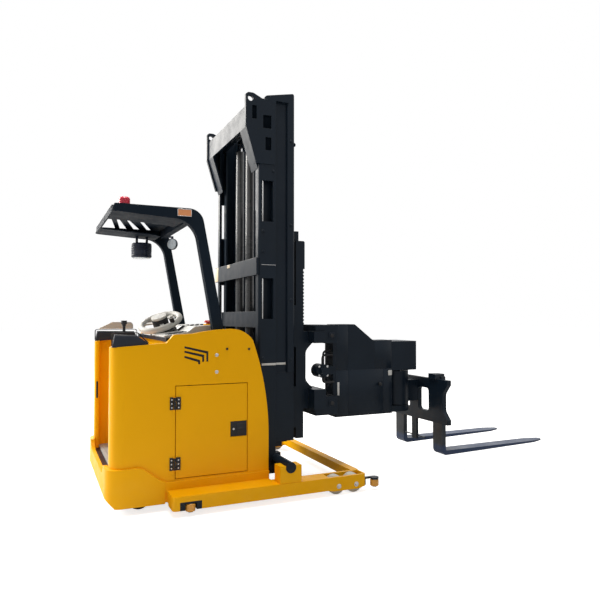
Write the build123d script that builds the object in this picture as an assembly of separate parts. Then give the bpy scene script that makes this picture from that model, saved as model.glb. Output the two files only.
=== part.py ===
from build123d import *
import os

# Stand-on three-way swing reach truck. Millimetres, +X forward (fork side), +Y left, +Z up, floor at Z = 0.
# Stations (names ending in _ST) are measured forward from the rear face of the skirt.

# Fits between pieces
SLIDE_FIT = 0.4
PIN_FIT = 0.08
SWING_GAP = 5.0
SIDE_GAP = 6.0
CUT = 1.0

# Widths, from the mast outwards
MAST_HALF = 573.0
MAST_CLEAR = 64.0
WALL = 40.0
SILL_LEDGE = 13.0
LEG_SPREAD = 49.0
LEG_WIDTH = 150.0
BODY_HALF = MAST_HALF + MAST_CLEAR + WALL
wall_half = BODY_HALF - WALL
leg_in = BODY_HALF + LEG_SPREAD
leg_mid = leg_in + LEG_WIDTH / 2
HALF_WIDTH = leg_in + LEG_WIDTH

# Straddle legs
LEG_BOTTOM = 45.0
LEG_TOP = 140.0
LEG_REAR_ST = 415.0
LEG_FRONT_ST = 1925.0
LEG_CORNER = 28.0
LEG_BELLY = 10.0
BEAM_DEPTH = 67.0
BEAM_PROUD = 10.0
BEAM_BOTTOM = 70.0

# Load wheels in the legs, given by their distance behind the leg tip
LOAD_WHEEL_RADIUS = 70.0
LOAD_WHEEL_WIDTH = 86.0
LOAD_WHEEL_BACK = (241.0, 89.0)
LOAD_AXLE_RADIUS = 14.0
LOAD_WHEEL_ST = [LEG_FRONT_ST - back for back in LOAD_WHEEL_BACK]

# Guide rollers on the legs
GUIDE_RADIUS = 34.0
GUIDE_PROUD = 12.0
GUIDE_BOTTOM = 34.0
GUIDE_TOP = 84.0
GUIDE_PIN_RADIUS = 9.0
GUIDE_PLATE = 12.0
GUIDE_CHEEK = 36.0
GUIDE_WASHER = 20.0
GUIDE_REAR_ST = LEG_REAR_ST + 125.0
GUIDE_FRONT_ST = LEG_FRONT_ST + 87.0
guide_y = HALF_WIDTH + GUIDE_PROUD - GUIDE_RADIUS

# Body
BODY_REAR_ST = 30.0
BODY_CORNER = 92.0
BODY_BOTTOM = 200.0
RETURN_WIDTH = 157.0
BASE_BOTTOM = 60.0
BULKHEAD_ST = 470.0
BULKHEAD_THICK = 24.0
FRONT_PANEL_ST = 1046.0
FRONT_PANEL_THICK = 14.0
BODY_NOSE = 124.0
DECK_TOP = 1215.0
DECK_THICK = 30.0
DECK_OVERHANG = 60.0
nose_front = FRONT_PANEL_ST + FRONT_PANEL_THICK
BODY_FRONT_ST = nose_front + BODY_NOSE
return_half = BODY_HALF - RETURN_WIDTH

# Upper edge of the side panels: arm rest, shoulder, hump and sloping front
ARM_REST_ST = 405.0
ARM_REST_Z = (1152.0, 1178.0)
SHOULDER_ST = (458.0, 600.0)
SHOULDER_Z = (1236.0, 1243.0)
HUMP_ST = 880.0
HUMP_Z = 1275.0
BROW_BACK = 128.0
BROW_Z = 1190.0
FRONT_DROP_Z = 500.0

# Bent vent slots, columns: height at the rear end, station of the bend, height of the bend, length of the drop
VENT_REAR_ST = 534.0
VENT_WIDTH = 15.0
VENT_DEPTH = 14.0
VENTS = ((1146.0, 703.0, 1105.0, 60.0), (1114.0, 672.0, 1080.0, 35.0), (1077.0, 642.0, 1044.0, 16.0))

# Rear skirt and step
SKIRT_PROUD = 20.0
SKIRT_CORNER = 115.0
SKIRT_BOTTOM = 52.0
SKIRT_REAR_BOTTOM = 112.0
SKIRT_LIP_Z = 320.0
SKIRT_FRONT_Z = 208.0
SKIRT_WAVE_ST = (232.0, 370.0)
SKIRT_WAVE_ROUNDS = (110.0, 60.0)
SKIRT_FRONT_ST = LEG_REAR_ST - 15.0
SKIRT_MOUTH = 120.0
STEP_Z = 240.0
STEP_PLATE = 24.0
MAT_THICK = 10.0
MAT_MARGIN = 4.0

# Service doors
DOOR_ST = (470.0, 1015.0)
DOOR_Z = (210.0, 873.0)
DOOR_THICK = 22.0
HINGE_Z = (275.0, 703.0)
HINGE_TALL = 88.0
HINGE_RADIUS = 8.0
HINGE_BACK = 4.0
HINGE_LEAF = 34.0
LEAF_PROUD = 7.0
LATCH_SIZE = (128.0, 114.0)
LATCH_Z = 476.0
LATCH_DEPTH = 6.0

# Arm pads, fairing and hand lever
PAD_REAR_ST = 36.0
PAD_FRONT_ST = (286.0, 398.0)
PAD_TOP = 1259.0
PAD_SLOPE = 76.0
PAD_INSET = 34.0
PAD_MARGIN = 16.0
FAIRING_ST = (119.0, 396.0)
FAIRING_TALL = 61.0
LEVER_ST = 118.0
LEVER_RADII = (10.0, 21.0)
LEVER_TALL = 80.0

# Console and steering wheel
CONSOLE_ST = (412.0, 585.0, 640.0, 806.0)
CONSOLE_Z = (1226.0, 1252.0, 1294.0, 1304.0)
CONSOLE_Y = (-(wall_half - 77.0), 330.0)
STEER_ST = 480.0
STEER_Y = -60.0
STEER_Z = 1322.0
STEER_RADIUS = 156.0
STEER_RIM = 24.0
STEER_TILT = 20.0
STEER_ROLL = 17.0
SPOKE_TURNS = (30.0, 150.0, 270.0)
KNOB_TURN = -60.0
HUB_RADIUS = 62.0
HUB_RISE = 55.0
COLUMN_RADIUS = 34.0

# Overhead guard
GUARD_HALF = wall_half
POST_WIDTH = 62.0
POST_FOOT_ST = (768.0, 848.0)
POST_TOP_ST = (612.0, 666.0)
ROOF_REAR_ST = 27.0
ROOF_TOP = 2162.0
ROOF_RAIL = 54.0
RAIL_DROP = 36.0
RAIL_CORNER = 45.0
POST_BENDS = (180.0, 110.0)
ROOF_SHEET = 8.0
ROOF_STEP = 4.0
ROOF_EDGE = 12.0
LINING_WIDTH = 290.0
LINING_Z = 2070.0
ROOF_BEAM_ST = (586.0, 640.0)
ROOF_BEAM_TALL = 76.0
roof_half = GUARD_HALF - POST_WIDTH
# Roof slots, columns: rear and front station at the inner end, rear and front station at the outer end
ROOF_SLOTS = ((52.0, 100.0, 56.0, 190.0), (138.0, 163.0, 228.0, 290.0), (214.0, 238.0, 348.0, 405.0),
              (312.0, 345.0, 465.0, 505.0))
SLOT_INNER_Y = 20.0
SLOT_MARGIN = 35.0
SLOT_ROUND = 6.0
BEACON_ST = 128.0
BEACON_RADIUS = 40.0
BEACON_TALL = 70.0
BEACON_BASE = 20.0
REFLECTOR_ST = (488.0, 586.0)
REFLECTOR_TALL = 48.0
REFLECTOR_THICK = 8.0
LAMP_ST = 415.0
LAMP_Y = roof_half - 65.0
LAMP_RADIUS = 88.0
LAMP_Z = (1897.0, 2028.0)
LAMP_ARM = 20.0
MIRROR_Z = 2034.0
MIRROR_Y = roof_half - 75.0
MIRROR_RADIUS = 52.0
MIRROR_ST = 690.0
MIRROR_THICK = 20.0
MIRROR_TURN = 45.0

# Mast, outer stage
MAST_WEB = 16.0
MAST_FLANGE = 70.0
MAST_CORNER = 24.0
MAST_BACK_DEPTH = 145.0
MAST_DEPTH = 310.0
MAST_BOTTOM = 300.0
MAST_TOP = 3092.0
CAP_RISE = (28.0, 82.0)
CAP_BACK = 259.0
CAP_CORNER = 22.0
COLUMN_DEPTH = 66.0
COLUMN_BOTTOM = 925.0
COLUMN_ROUND = 22.0
WEB_INSET = (46.0, 30.0)
COLUMN_LOW_Z = 380.0
COLUMN_LOW_INSET = 25.0
MAST_REAR_ST = nose_front + 79.0
back_front = MAST_REAR_ST + MAST_BACK_DEPTH
MAST_FRONT_ST = MAST_REAR_ST + MAST_DEPTH
column_st = MAST_FRONT_ST - COLUMN_DEPTH
mast_in = MAST_HALF - MAST_FLANGE
# Windows in the outer uprights, columns: bottom, top
MAST_WINDOWS = ((1349.0, 1670.0), (2118.0, 2443.0))
MAST_WINDOW_BACK = 22.0
FOOT_TALL = 80.0
FOOT_DEPTH = 104.0
TRUNNION_ST = MAST_REAR_ST + 147.0
TRUNNION_Z = 252.0
TRUNNION_RADIUS = 40.0
PEDESTAL_HALF = 86.0
PEDESTAL_Y = (leg_in + 36.0, HALF_WIDTH - 4.0)
PEDESTAL_TALL = 126.0

# Lifting ears: plate outline by station ahead of the mast's rear face and height over the mast's top
EAR_PLATE = 22.0
EAR_PROUD = 6.0
EAR_EYE = (-72.0, -12.0)
EAR_EYE_RADIUS = 22.0
EAR_REAR = -112.0
EAR_FRONT = 136.0
EAR_WAIST_Z = -230.0
EAR_FOOT = (-25.0, -519.0)
EAR_CREST = (-91.0, -49.0)
EAR_CREST_Z = 33.0
EAR_NOSE_Z = -52.0
# Shallow windows in the ear plates, columns: rear, front, bottom, top
EAR_WINDOWS = ((-59.0, -21.0, -171.0, -65.0), (33.0, 102.0, -234.0, -130.0), (53.0, 102.0, -408.0, -305.0))
PORTAL_THICK = 16.0
PORTAL_TALL = 168.0
PORTAL_LEG = 150.0
CROSS_Z = (1695.0, 1831.0)
CROSS_THICK = 20.0

# Mast, moving stages
STAGE_GAP = 8.0
STAGE_WEB = 14.0
STAGE_WIDTH = 70.0
ROLLER_REACH = 46.0
MID_BACK = 41.0
MID_DEPTH = 188.0
INNER_BACK = 80.0
INNER_DEPTH = 186.0
MID_ST = (MAST_REAR_ST + MID_BACK, MAST_REAR_ST + MID_BACK + MID_DEPTH)
INNER_ST = (MID_ST[0] + INNER_BACK, MID_ST[0] + INNER_BACK + INNER_DEPTH)
MID_Z = (MAST_BOTTOM + 30.0, MAST_TOP - 32.0)
INNER_Z = (MAST_BOTTOM + 45.0, MAST_TOP - 62.0)
TIE_THICK = 13.0
TIE_TALL = 130.0
TIE_LOW_Z = 1280.0
ROD_RADIUS = 22.0
BARREL_RADIUS = 35.0
BARREL_Y = 133.0
BARREL_ST = MID_ST[0] + 38.0
BARREL_TOP = MAST_TOP - 240.0
BARREL_FLOOR = 90.0
RAM_RADIUS = 55.0
RAM_TOP = 2300.0
RAM_FORWARD = 70.0

# Lift carriage and traverse rails
CARRIAGE_GAP = 16.0
CARRIAGE_PLATE = 28.0
CARRIAGE_CHEEK = 24.0
# Cross plates of the carriage, columns: bottom, top
CARRIAGE_PLATES = ((470.0, 800.0), (1120.0, 1460.0))
CHEEK_Z = (460.0, 1560.0)
CHEEK_ROLLERS = (560.0, 1460.0)
BAR_WIDTH = 82.0
BAR_DEPTH = 66.0
BAR_Z = (380.0, 1990.0)
BAR_INSET = 73.0
RAIL_STANDOFF = 44.0
RAIL_DEPTH = 104.0
RAIL_HALF = MAST_HALF + 45.0
UPPER_RAIL_Z = (1154.0, 1248.0)
LOWER_RAIL_Z = (620.0, 780.0)
GUSSET_LIP = 21.0
GUSSET_REACH = 84.0
GUSSET_RUN = 66.0
RIB_PITCH = 28.0
RIB_SIZE = (6.0, 40.0, 15.0)
CHAIN_BLOCK = (13.0, 1760.0)
ANCHOR_SIZE = (36.0, 24.0, 82.0)
CARRIAGE_FACE_ST = INNER_ST[1] + CARRIAGE_GAP
bar_st = CARRIAGE_FACE_ST + CARRIAGE_PLATE
bar_front = bar_st + BAR_DEPTH
rail_st = bar_front + RAIL_STANDOFF
rail_front = rail_st + RAIL_DEPTH
bar_y = (MAST_HALF - BAR_INSET - BAR_WIDTH, MAST_HALF - BAR_INSET)

# Traverse slider and arm
HEAD_Y = -400.0
ARM_HALF = 160.0
ARM_WIDTH = 150.0
SLIDER_HALF = 200.0
SLIDER_DEPTH = 116.0
SLIDER_WALL = 20.0
LIP_THICK = 52.0
LIP_GRIP = 20.0
KNUCKLE_TALL = 98.0
MOTOR_Z = 925.0
MOTOR_BACK = 14.0
MOTOR_RADII = (56.0, 34.0)
MOTOR_STEPS = (40.0, 36.0)
MOTOR_DEEP = 80.0
MOTOR_BLOCK = 60.0
ARM_Z = (LOWER_RAIL_Z[0] - 84.0, UPPER_RAIL_Z[1] + 56.0)
ARM_LENGTH = 552.0
ARM_SLOPE = (185.0, 365.0)
ARM_SHELF_Z = ARM_Z[1] - 138.0
ARM_WALL = 14.0
ARM_BEND = 36.0
arm_rear = rail_front + SLIDER_DEPTH
arm_front = arm_rear + ARM_LENGTH
PIVOT_ST = arm_front + 138.0
DRUM_RADIUS = 118.0
COVER_Z = (ARM_SHELF_Z - 265.0, ARM_SHELF_Z - 12.0)
COVER_WALL = 16.0
COVER_FLOOR = 40.0
COVER_FRONT_ST = PIVOT_ST + DRUM_RADIUS

# Swivelling fork head
DRUM_Z = (ARM_Z[0] + 56.0, COVER_Z[0] - 12.0)
PIVOT_PIN_RADIUS = 42.0
NECK_HALF = 60.0
NECK_Z = (612.0, 800.0)
FORK_BACK_ST = PIVOT_ST + 205.0
FORK_PLATE = 40.0
FORK_PLATE_HALF = 476.0
FORK_PLATE_Z = (452.0, 828.0)
FORK_WAIST = 64.0
WAIST_Z = (562.0, 708.0)
WAIST_ROUND = 50.0
OVAL_Y = (94.0, 188.0)
OVAL_RADIUS = 30.0
OVAL_Z = (570.0, 710.0)
HANGER_HALF = 36.0
HANGER_THICK = 22.0
HANGER_Z = 262.0
HANGER_ROD = (150.0, 6.0, 292.0)
FORK_LENGTH = 1150.0
FORK_WIDTH = 128.0
FORK_THICK = 40.0
FORK_BOTTOM = 172.0
FORK_CENTRE = 288.0
FORK_TIP_THICK = 14.0
FORK_TIP_HALF = 26.0
FORK_TIP_RUN = 130.0
FORK_HEEL = 46.0
LATCH_BLOCK = (50.0, 44.0, 16.0)

# Drive unit and casters
DRIVE_ST = 652.0
DRIVE_WHEEL_RADIUS = 125.0
DRIVE_WHEEL_WIDTH = 90.0
DRIVE_AXLE_RADIUS = 26.0
DRIVE_NECK_RADIUS = 70.0
DRIVE_SWEEP = 152.0
DRIVE_MARGIN = 18.0
DRIVE_CHEEK = 34.0
DRIVE_CHEEK_HALF = 60.0
DRIVE_MOTOR_RADIUS = 110.0
DRIVE_MOTOR_TOP = 620.0
DRIVE_CROWN_Z = 292.0
BRIDGE_HALF = 120.0
BRIDGE_WALL = 30.0
BRIDGE_Z = (330.0, 356.0)
BATTERY_ST = 830.0
BATTERY_HALF = 480.0
BATTERY_TOP = 900.0
CASTER_ST = 240.0
CASTER_Y = BODY_HALF - 127.0
CASTER_RADIUS = 80.0
CASTER_WIDTH = 50.0
CASTER_TRAIL = 35.0
CASTER_PLATE = 6.0
CASTER_AXLE_RADIUS = 10.0
CASTER_HEAD_RADIUS = 46.0

OVERALL_LENGTH = FORK_BACK_ST + FORK_PLATE + FORK_THICK + FORK_LENGTH
SHIFT = Pos(-OVERALL_LENGTH / 2, 0, 0)


def box(x0, x1, y0, y1, z0, z1):
    return Pos((x0 + x1) / 2, (y0 + y1) / 2, (z0 + z1) / 2) * Box(x1 - x0, y1 - y0, z1 - z0)


def cyl_x(y, z, r, x0, x1):
    return extrude(Plane.YZ.offset(x0) * Pos(y, z) * Circle(r), amount=x1 - x0)


def cyl_y(x, z, r, y0, y1):
    return extrude(Plane.XZ.offset(-y1) * Pos(x, z) * Circle(r), amount=y1 - y0)


def cyl_z(x, y, r, z0, z1):
    return extrude(Pos(x, y, z0) * Circle(r), amount=z1 - z0)


def rounded(face, rounds):
    # rounds holds (point, radius) for the corners that are turned to an arc
    for (px, py), radius in rounds:
        corner = face.vertices().sort_by(lambda v: (v.X - px) ** 2 + (v.Y - py) ** 2)[0]
        face = fillet(corner, radius)
    return face


def poly_x(points, x0, x1, rounds=()):
    face = make_face(Polyline(*points, close=True))
    return extrude(Plane.YZ.offset(x0) * rounded(face, rounds), amount=x1 - x0)


def poly_y(points, y0, y1, rounds=()):
    face = make_face(Polyline(*points, close=True))
    return extrude(Plane.XZ.offset(-y1) * rounded(face, rounds), amount=y1 - y0)


def poly_z(points, z0, z1, rounds=()):
    face = make_face(Polyline(*points, close=True))
    return extrude(Pos(0, 0, z0) * rounded(face, rounds), amount=z1 - z0)


def mirrored(shape):
    return mirror(shape, about=Plane.XZ)


def ring_y(x, z, r_out, r_in, y0, y1):
    return cyl_y(x, z, r_out, y0, y1) - cyl_y(x, z, r_in, y0 - CUT, y1 + CUT)


def save(name, *solids):
    shape = SHIFT * (solids[0] if len(solids) == 1 else Compound(children=list(solids)))
    export_step(shape, "parts/" + name + ".step")


os.makedirs("parts", exist_ok=True)

# Straddle legs: box beams with a pocket round each load wheel and a notch for the rear guide roller
pocket_half = LOAD_WHEEL_RADIUS + SIDE_GAP
notch_half = GUIDE_RADIUS + SIDE_GAP + GUIDE_CHEEK
notch_in = guide_y - GUIDE_RADIUS - SIDE_GAP
notch_top = GUIDE_TOP + SIDE_GAP + GUIDE_PLATE
leg = poly_z(
    [(LEG_REAR_ST, leg_in), (LEG_FRONT_ST, leg_in), (LEG_FRONT_ST, HALF_WIDTH), (LEG_REAR_ST, HALF_WIDTH)],
    LEG_BOTTOM, LEG_TOP,
    [((LEG_REAR_ST, HALF_WIDTH), LEG_CORNER), ((LEG_FRONT_ST, HALF_WIDTH), LEG_CORNER)])
belly_rear = LOAD_WHEEL_ST[0] - LOAD_WHEEL_RADIUS - LEG_CORNER
leg += poly_y(
    [(belly_rear, LEG_BOTTOM + CUT), (belly_rear + 2 * LEG_CORNER, LEG_BOTTOM - LEG_BELLY),
     (LEG_FRONT_ST - 2 * LEG_CORNER, LEG_BOTTOM - LEG_BELLY), (LEG_FRONT_ST - LEG_CORNER, LEG_BOTTOM + CUT)],
    leg_in, HALF_WIDTH)
for st in LOAD_WHEEL_ST:
    leg -= box(st - pocket_half, st + pocket_half,
               leg_mid - LOAD_WHEEL_WIDTH / 2 - SIDE_GAP, leg_mid + LOAD_WHEEL_WIDTH / 2 + SIDE_GAP,
               0, LEG_TOP + CUT)
    leg += cyl_y(st, LOAD_WHEEL_RADIUS, LOAD_AXLE_RADIUS, leg_in, HALF_WIDTH)
leg -= box(GUIDE_REAR_ST - notch_half, GUIDE_REAR_ST + notch_half, notch_in, HALF_WIDTH + CUT,
           LEG_BOTTOM - CUT, notch_top)
save("leg_left", leg)
save("leg_right", mirrored(leg))

# Cross beam between the leg tips
beam_front = LEG_FRONT_ST + BEAM_PROUD
save("front_crossbeam", box(beam_front - BEAM_DEPTH, beam_front, -leg_in, leg_in, BEAM_BOTTOM, LEG_TOP))

# Load wheels
for number, st in enumerate(LOAD_WHEEL_ST, start=1):
    for side_name, side in (("right", -1), ("left", 1)):
        y0 = side * leg_mid - LOAD_WHEEL_WIDTH / 2
        wheel = ring_y(st, LOAD_WHEEL_RADIUS, LOAD_WHEEL_RADIUS, LOAD_AXLE_RADIUS + PIN_FIT,
                       y0, y0 + LOAD_WHEEL_WIDTH)
        rim = wheel.edges().filter_by(GeomType.CIRCLE).group_by(SortBy.RADIUS)[-1]
        save("load_wheel_%s_%d" % (side_name, number), fillet(rim, SIDE_GAP))

# Guide rollers on pins under black brackets: one fills the notch of the leg, one stands ahead of the leg tip
pin_bottom = GUIDE_BOTTOM - SLIDE_FIT - SIDE_GAP


def guide_pin(st):
    pin = cyl_z(st, guide_y, GUIDE_PIN_RADIUS, pin_bottom, GUIDE_TOP + SIDE_GAP + CUT)
    return pin + cyl_z(st, guide_y, GUIDE_WASHER, pin_bottom, GUIDE_BOTTOM - SLIDE_FIT)


rear_bracket = box(GUIDE_REAR_ST - notch_half, GUIDE_REAR_ST + notch_half, notch_in, HALF_WIDTH,
                   GUIDE_TOP + SIDE_GAP, notch_top)
for side in (-1, 1):
    cheek_x = sorted((GUIDE_REAR_ST + side * notch_half, GUIDE_REAR_ST + side * (GUIDE_RADIUS + SIDE_GAP)))
    rear_bracket += box(cheek_x[0], cheek_x[1], notch_in, HALF_WIDTH, LEG_BOTTOM, notch_top)
rear_bracket += guide_pin(GUIDE_REAR_ST)
front_bracket = box(LEG_FRONT_ST, LEG_FRONT_ST + GUIDE_PLATE, guide_y - GUIDE_RADIUS, HALF_WIDTH - LEG_CORNER,
                    LEG_BOTTOM, notch_top)
front_bracket += box(LEG_FRONT_ST, GUIDE_FRONT_ST, guide_y - GUIDE_RADIUS, HALF_WIDTH - LEG_CORNER,
                     GUIDE_TOP + SIDE_GAP, notch_top)
front_bracket += cyl_z(GUIDE_FRONT_ST, guide_y, GUIDE_RADIUS, GUIDE_TOP + SIDE_GAP, notch_top)
front_bracket += guide_pin(GUIDE_FRONT_ST)
save("guide_brackets", rear_bracket, front_bracket, mirrored(rear_bracket), mirrored(front_bracket))
for end_name, st in (("rear", GUIDE_REAR_ST), ("front", GUIDE_FRONT_ST)):
    for side_name, side in (("right", -1), ("left", 1)):
        roller = cyl_z(st, side * guide_y, GUIDE_RADIUS, GUIDE_BOTTOM, GUIDE_TOP)
        roller = fillet(roller.edges().filter_by(GeomType.CIRCLE), SWING_GAP)
        roller -= cyl_z(st, side * guide_y, GUIDE_PIN_RADIUS + PIN_FIT, GUIDE_BOTTOM - CUT, GUIDE_TOP + CUT)
        save("guide_roller_%s_%s" % (end_name, side_name), roller)

# Chassis base: sills beside the drive well, a nose plate ahead of it and a bridge that holds the drive unit
sill_in = DRIVE_SWEEP + DRIVE_MARGIN
well_front = DRIVE_ST + DRIVE_SWEEP + DRIVE_MARGIN
bridge_st = (DRIVE_ST - BRIDGE_HALF, DRIVE_ST + BRIDGE_HALF)
sill = box(SKIRT_FRONT_ST, BODY_FRONT_ST, sill_in, BODY_HALF + SILL_LEDGE, BASE_BOTTOM, BODY_BOTTOM)
sill += box(LEG_REAR_ST, BODY_FRONT_ST, BODY_HALF, leg_in, BASE_BOTTOM, LEG_TOP)
sill += box(bridge_st[0], bridge_st[1], sill_in, sill_in + BRIDGE_WALL, BODY_BOTTOM, BRIDGE_Z[0])
base = sill + mirrored(sill)
base += box(well_front, nose_front, -sill_in, sill_in, BASE_BOTTOM, BODY_BOTTOM)
bridge_half = sill_in + BRIDGE_WALL
base += box(bridge_st[0], bridge_st[1], -bridge_half, bridge_half, BRIDGE_Z[0], BRIDGE_Z[1])
base -= cyl_z(DRIVE_ST, 0, DRIVE_NECK_RADIUS + PIN_FIT, BRIDGE_Z[0] - CUT, BRIDGE_Z[1] + CUT)
save("chassis_base", base)

# Step with its mat
step_rear = BODY_REAR_ST + WALL
step_corner = BODY_CORNER - WALL


def step_plate(inset, z0, z1):
    rear = step_rear + inset
    half = wall_half - inset
    front = BULKHEAD_ST - inset
    return poly_z([(rear, -half), (front, -half), (front, half), (rear, half)], z0, z1,
                  [((rear, -half), step_corner), ((rear, half), step_corner)])


mat_bottom = STEP_Z - MAT_THICK
step_bottom = mat_bottom - STEP_PLATE
step = step_plate(0, step_bottom, mat_bottom)
step += box(BODY_REAR_ST, step_rear + CUT, -return_half, return_half, step_bottom, mat_bottom)
save("step_frame", step)
save("step_mat", step_plate(MAT_MARGIN, mat_bottom, STEP_Z))

# Skirt round the rear of the step, with a wavy upper lip
skirt_half = BODY_HALF + SKIRT_PROUD
skirt_front = SKIRT_FRONT_ST + CUT
skirt = poly_z(
    [(0, -skirt_half), (SKIRT_FRONT_ST, -skirt_half), (SKIRT_FRONT_ST, skirt_half), (0, skirt_half)],
    0, DECK_TOP, [((0, -skirt_half), SKIRT_CORNER), ((0, skirt_half), SKIRT_CORNER)])
skirt -= poly_z(
    [(BODY_REAR_ST, -BODY_HALF), (skirt_front, -BODY_HALF), (skirt_front, BODY_HALF), (BODY_REAR_ST, BODY_HALF)],
    -CUT, DECK_TOP + CUT, [((BODY_REAR_ST, -BODY_HALF), BODY_CORNER), ((BODY_REAR_ST, BODY_HALF), BODY_CORNER)])
skirt &= poly_y(
    [(-CUT, SKIRT_REAR_BOTTOM), (2 * BODY_REAR_ST, SKIRT_BOTTOM), (SKIRT_FRONT_ST, SKIRT_BOTTOM),
     (SKIRT_FRONT_ST, SKIRT_FRONT_Z), (SKIRT_WAVE_ST[1], SKIRT_FRONT_Z + LEAF_PROUD),
     (SKIRT_WAVE_ST[0], SKIRT_LIP_Z), (-CUT, SKIRT_LIP_Z - LEAF_PROUD)],
    -skirt_half - CUT, skirt_half + CUT,
    [((SKIRT_WAVE_ST[0], SKIRT_LIP_Z), SKIRT_WAVE_ROUNDS[0]),
     ((SKIRT_WAVE_ST[1], SKIRT_FRONT_Z + LEAF_PROUD), SKIRT_WAVE_ROUNDS[1])])
mouth_half = skirt_half - RETURN_WIDTH - SKIRT_MOUTH / 2
skirt -= poly_x(
    [(-mouth_half, STEP_Z), (mouth_half, STEP_Z), (mouth_half + SKIRT_MOUTH, DECK_TOP),
     (-mouth_half - SKIRT_MOUTH, DECK_TOP)],
    -CUT, BODY_REAR_ST, [((-mouth_half, STEP_Z), SKIRT_MOUTH), ((mouth_half, STEP_Z), SKIRT_MOUTH)])
save("rear_skirt", skirt)


def panel_top(st):
    # height of the sloping edge along the operator's compartment
    rise = (ARM_REST_Z[1] - ARM_REST_Z[0]) / (ARM_REST_ST - BODY_REAR_ST)
    return ARM_REST_Z[0] + (st - BODY_REAR_ST) * rise


# Body side panels, hollow inside, with the door opening and the vents cut
brow_st = BODY_FRONT_ST - BROW_BACK
hump_rise = (SHOULDER_Z[1] + HUMP_Z) / 2 + LEAF_PROUD
hump_mid = (SHOULDER_ST[1] + HUMP_ST) / 2
brow_mid = (HUMP_ST + brow_st) / 2 + BROW_BACK / 8
front_mid = ((brow_st + BODY_FRONT_ST) / 2 + BROW_BACK / 6, (BROW_Z + FRONT_DROP_Z) / 2 + WALL)
profile = make_face(
    Polyline((BODY_REAR_ST, BODY_BOTTOM), (BODY_REAR_ST, ARM_REST_Z[0]), (ARM_REST_ST, ARM_REST_Z[1]),
             (SHOULDER_ST[0], SHOULDER_Z[0]), (SHOULDER_ST[1], SHOULDER_Z[1]))
    + ThreePointArc((SHOULDER_ST[1], SHOULDER_Z[1]), (hump_mid, hump_rise), (HUMP_ST, HUMP_Z))
    + ThreePointArc((HUMP_ST, HUMP_Z), (brow_mid, (HUMP_Z + BROW_Z) / 2 + WALL / 2), (brow_st, BROW_Z))
    + ThreePointArc((brow_st, BROW_Z), front_mid, (BODY_FRONT_ST, FRONT_DROP_Z))
    + Polyline((BODY_FRONT_ST, FRONT_DROP_Z), (BODY_FRONT_ST, BODY_BOTTOM), (BODY_REAR_ST, BODY_BOTTOM)))
side_shape = extrude(Plane.XZ.offset(-BODY_HALF) * profile, amount=BODY_HALF)
plan = poly_z(
    [(BODY_REAR_ST, return_half), (BODY_REAR_ST, BODY_HALF), (BODY_FRONT_ST, BODY_HALF),
     (BODY_FRONT_ST, wall_half), (step_rear, wall_half), (step_rear, return_half)],
    BODY_BOTTOM, HUMP_Z + WALL,
    [((BODY_REAR_ST, BODY_HALF), BODY_CORNER), ((step_rear, wall_half), step_corner),
     ((BODY_REAR_ST, return_half), WALL / 2 - CUT), ((step_rear, return_half), WALL / 2 - CUT)])
panel = plan & side_shape
panel -= box(DOOR_ST[0], DOOR_ST[1], wall_half - CUT, BODY_HALF + CUT, DOOR_Z[0], DOOR_Z[1])
half_slot = VENT_WIDTH / 2
for rear_z, bend_st, bend_z, drop in VENTS:
    panel -= poly_y([(VENT_REAR_ST, rear_z + half_slot), (bend_st + half_slot, bend_z + half_slot),
                     (bend_st + half_slot, bend_z - half_slot - drop),
                     (bend_st - half_slot, bend_z - half_slot - drop),
                     (bend_st - half_slot, bend_z - half_slot), (VENT_REAR_ST, rear_z - half_slot)],
                    BODY_HALF - VENT_DEPTH, BODY_HALF + CUT)
hinge_st = DOOR_ST[0] - HINGE_BACK
hinge_y = BODY_HALF + HINGE_RADIUS
knuckle = HINGE_TALL / 3
leaf_edge = HINGE_RADIUS + 3 * CUT
for z in HINGE_Z:
    panel += box(hinge_st - HINGE_LEAF, hinge_st - leaf_edge, BODY_HALF - CUT, BODY_HALF + LEAF_PROUD,
                 z, z + HINGE_TALL)
    for z0 in (z, z + 2 * knuckle):
        panel += cyl_z(hinge_st, hinge_y, HINGE_RADIUS, z0, z0 + knuckle)
        panel += box(hinge_st - leaf_edge - CUT, hinge_st, BODY_HALF - CUT, BODY_HALF + SWING_GAP,
                     z0, z0 + knuckle)
save("side_panel_left", panel)
save("side_panel_right", mirrored(panel))

# Service doors with hinge leaves and a latch recess
door = box(DOOR_ST[0] + SWING_GAP, DOOR_ST[1] - SWING_GAP, BODY_HALF - DOOR_THICK, BODY_HALF,
           DOOR_Z[0] + SWING_GAP, DOOR_Z[1] - SWING_GAP)
latch_front = DOOR_ST[1] - SWING_GAP - 2 * CUT
door -= box(latch_front - LATCH_SIZE[0], latch_front, BODY_HALF - LATCH_DEPTH, BODY_HALF + CUT,
            LATCH_Z, LATCH_Z + LATCH_SIZE[1])
for z in HINGE_Z:
    z0 = z + knuckle + SLIDE_FIT
    z1 = z + 2 * knuckle - SLIDE_FIT
    door += cyl_z(hinge_st, hinge_y, HINGE_RADIUS, z0, z1)
    door += box(hinge_st, hinge_st + 2 * HINGE_RADIUS, BODY_HALF + CUT, BODY_HALF + LEAF_PROUD, z0, z1)
    door += box(hinge_st + leaf_edge, hinge_st + HINGE_LEAF + HINGE_RADIUS, BODY_HALF - CUT, BODY_HALF + LEAF_PROUD,
                z, z + HINGE_TALL)
save("door_left", door)
save("door_right", mirrored(door))

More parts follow.
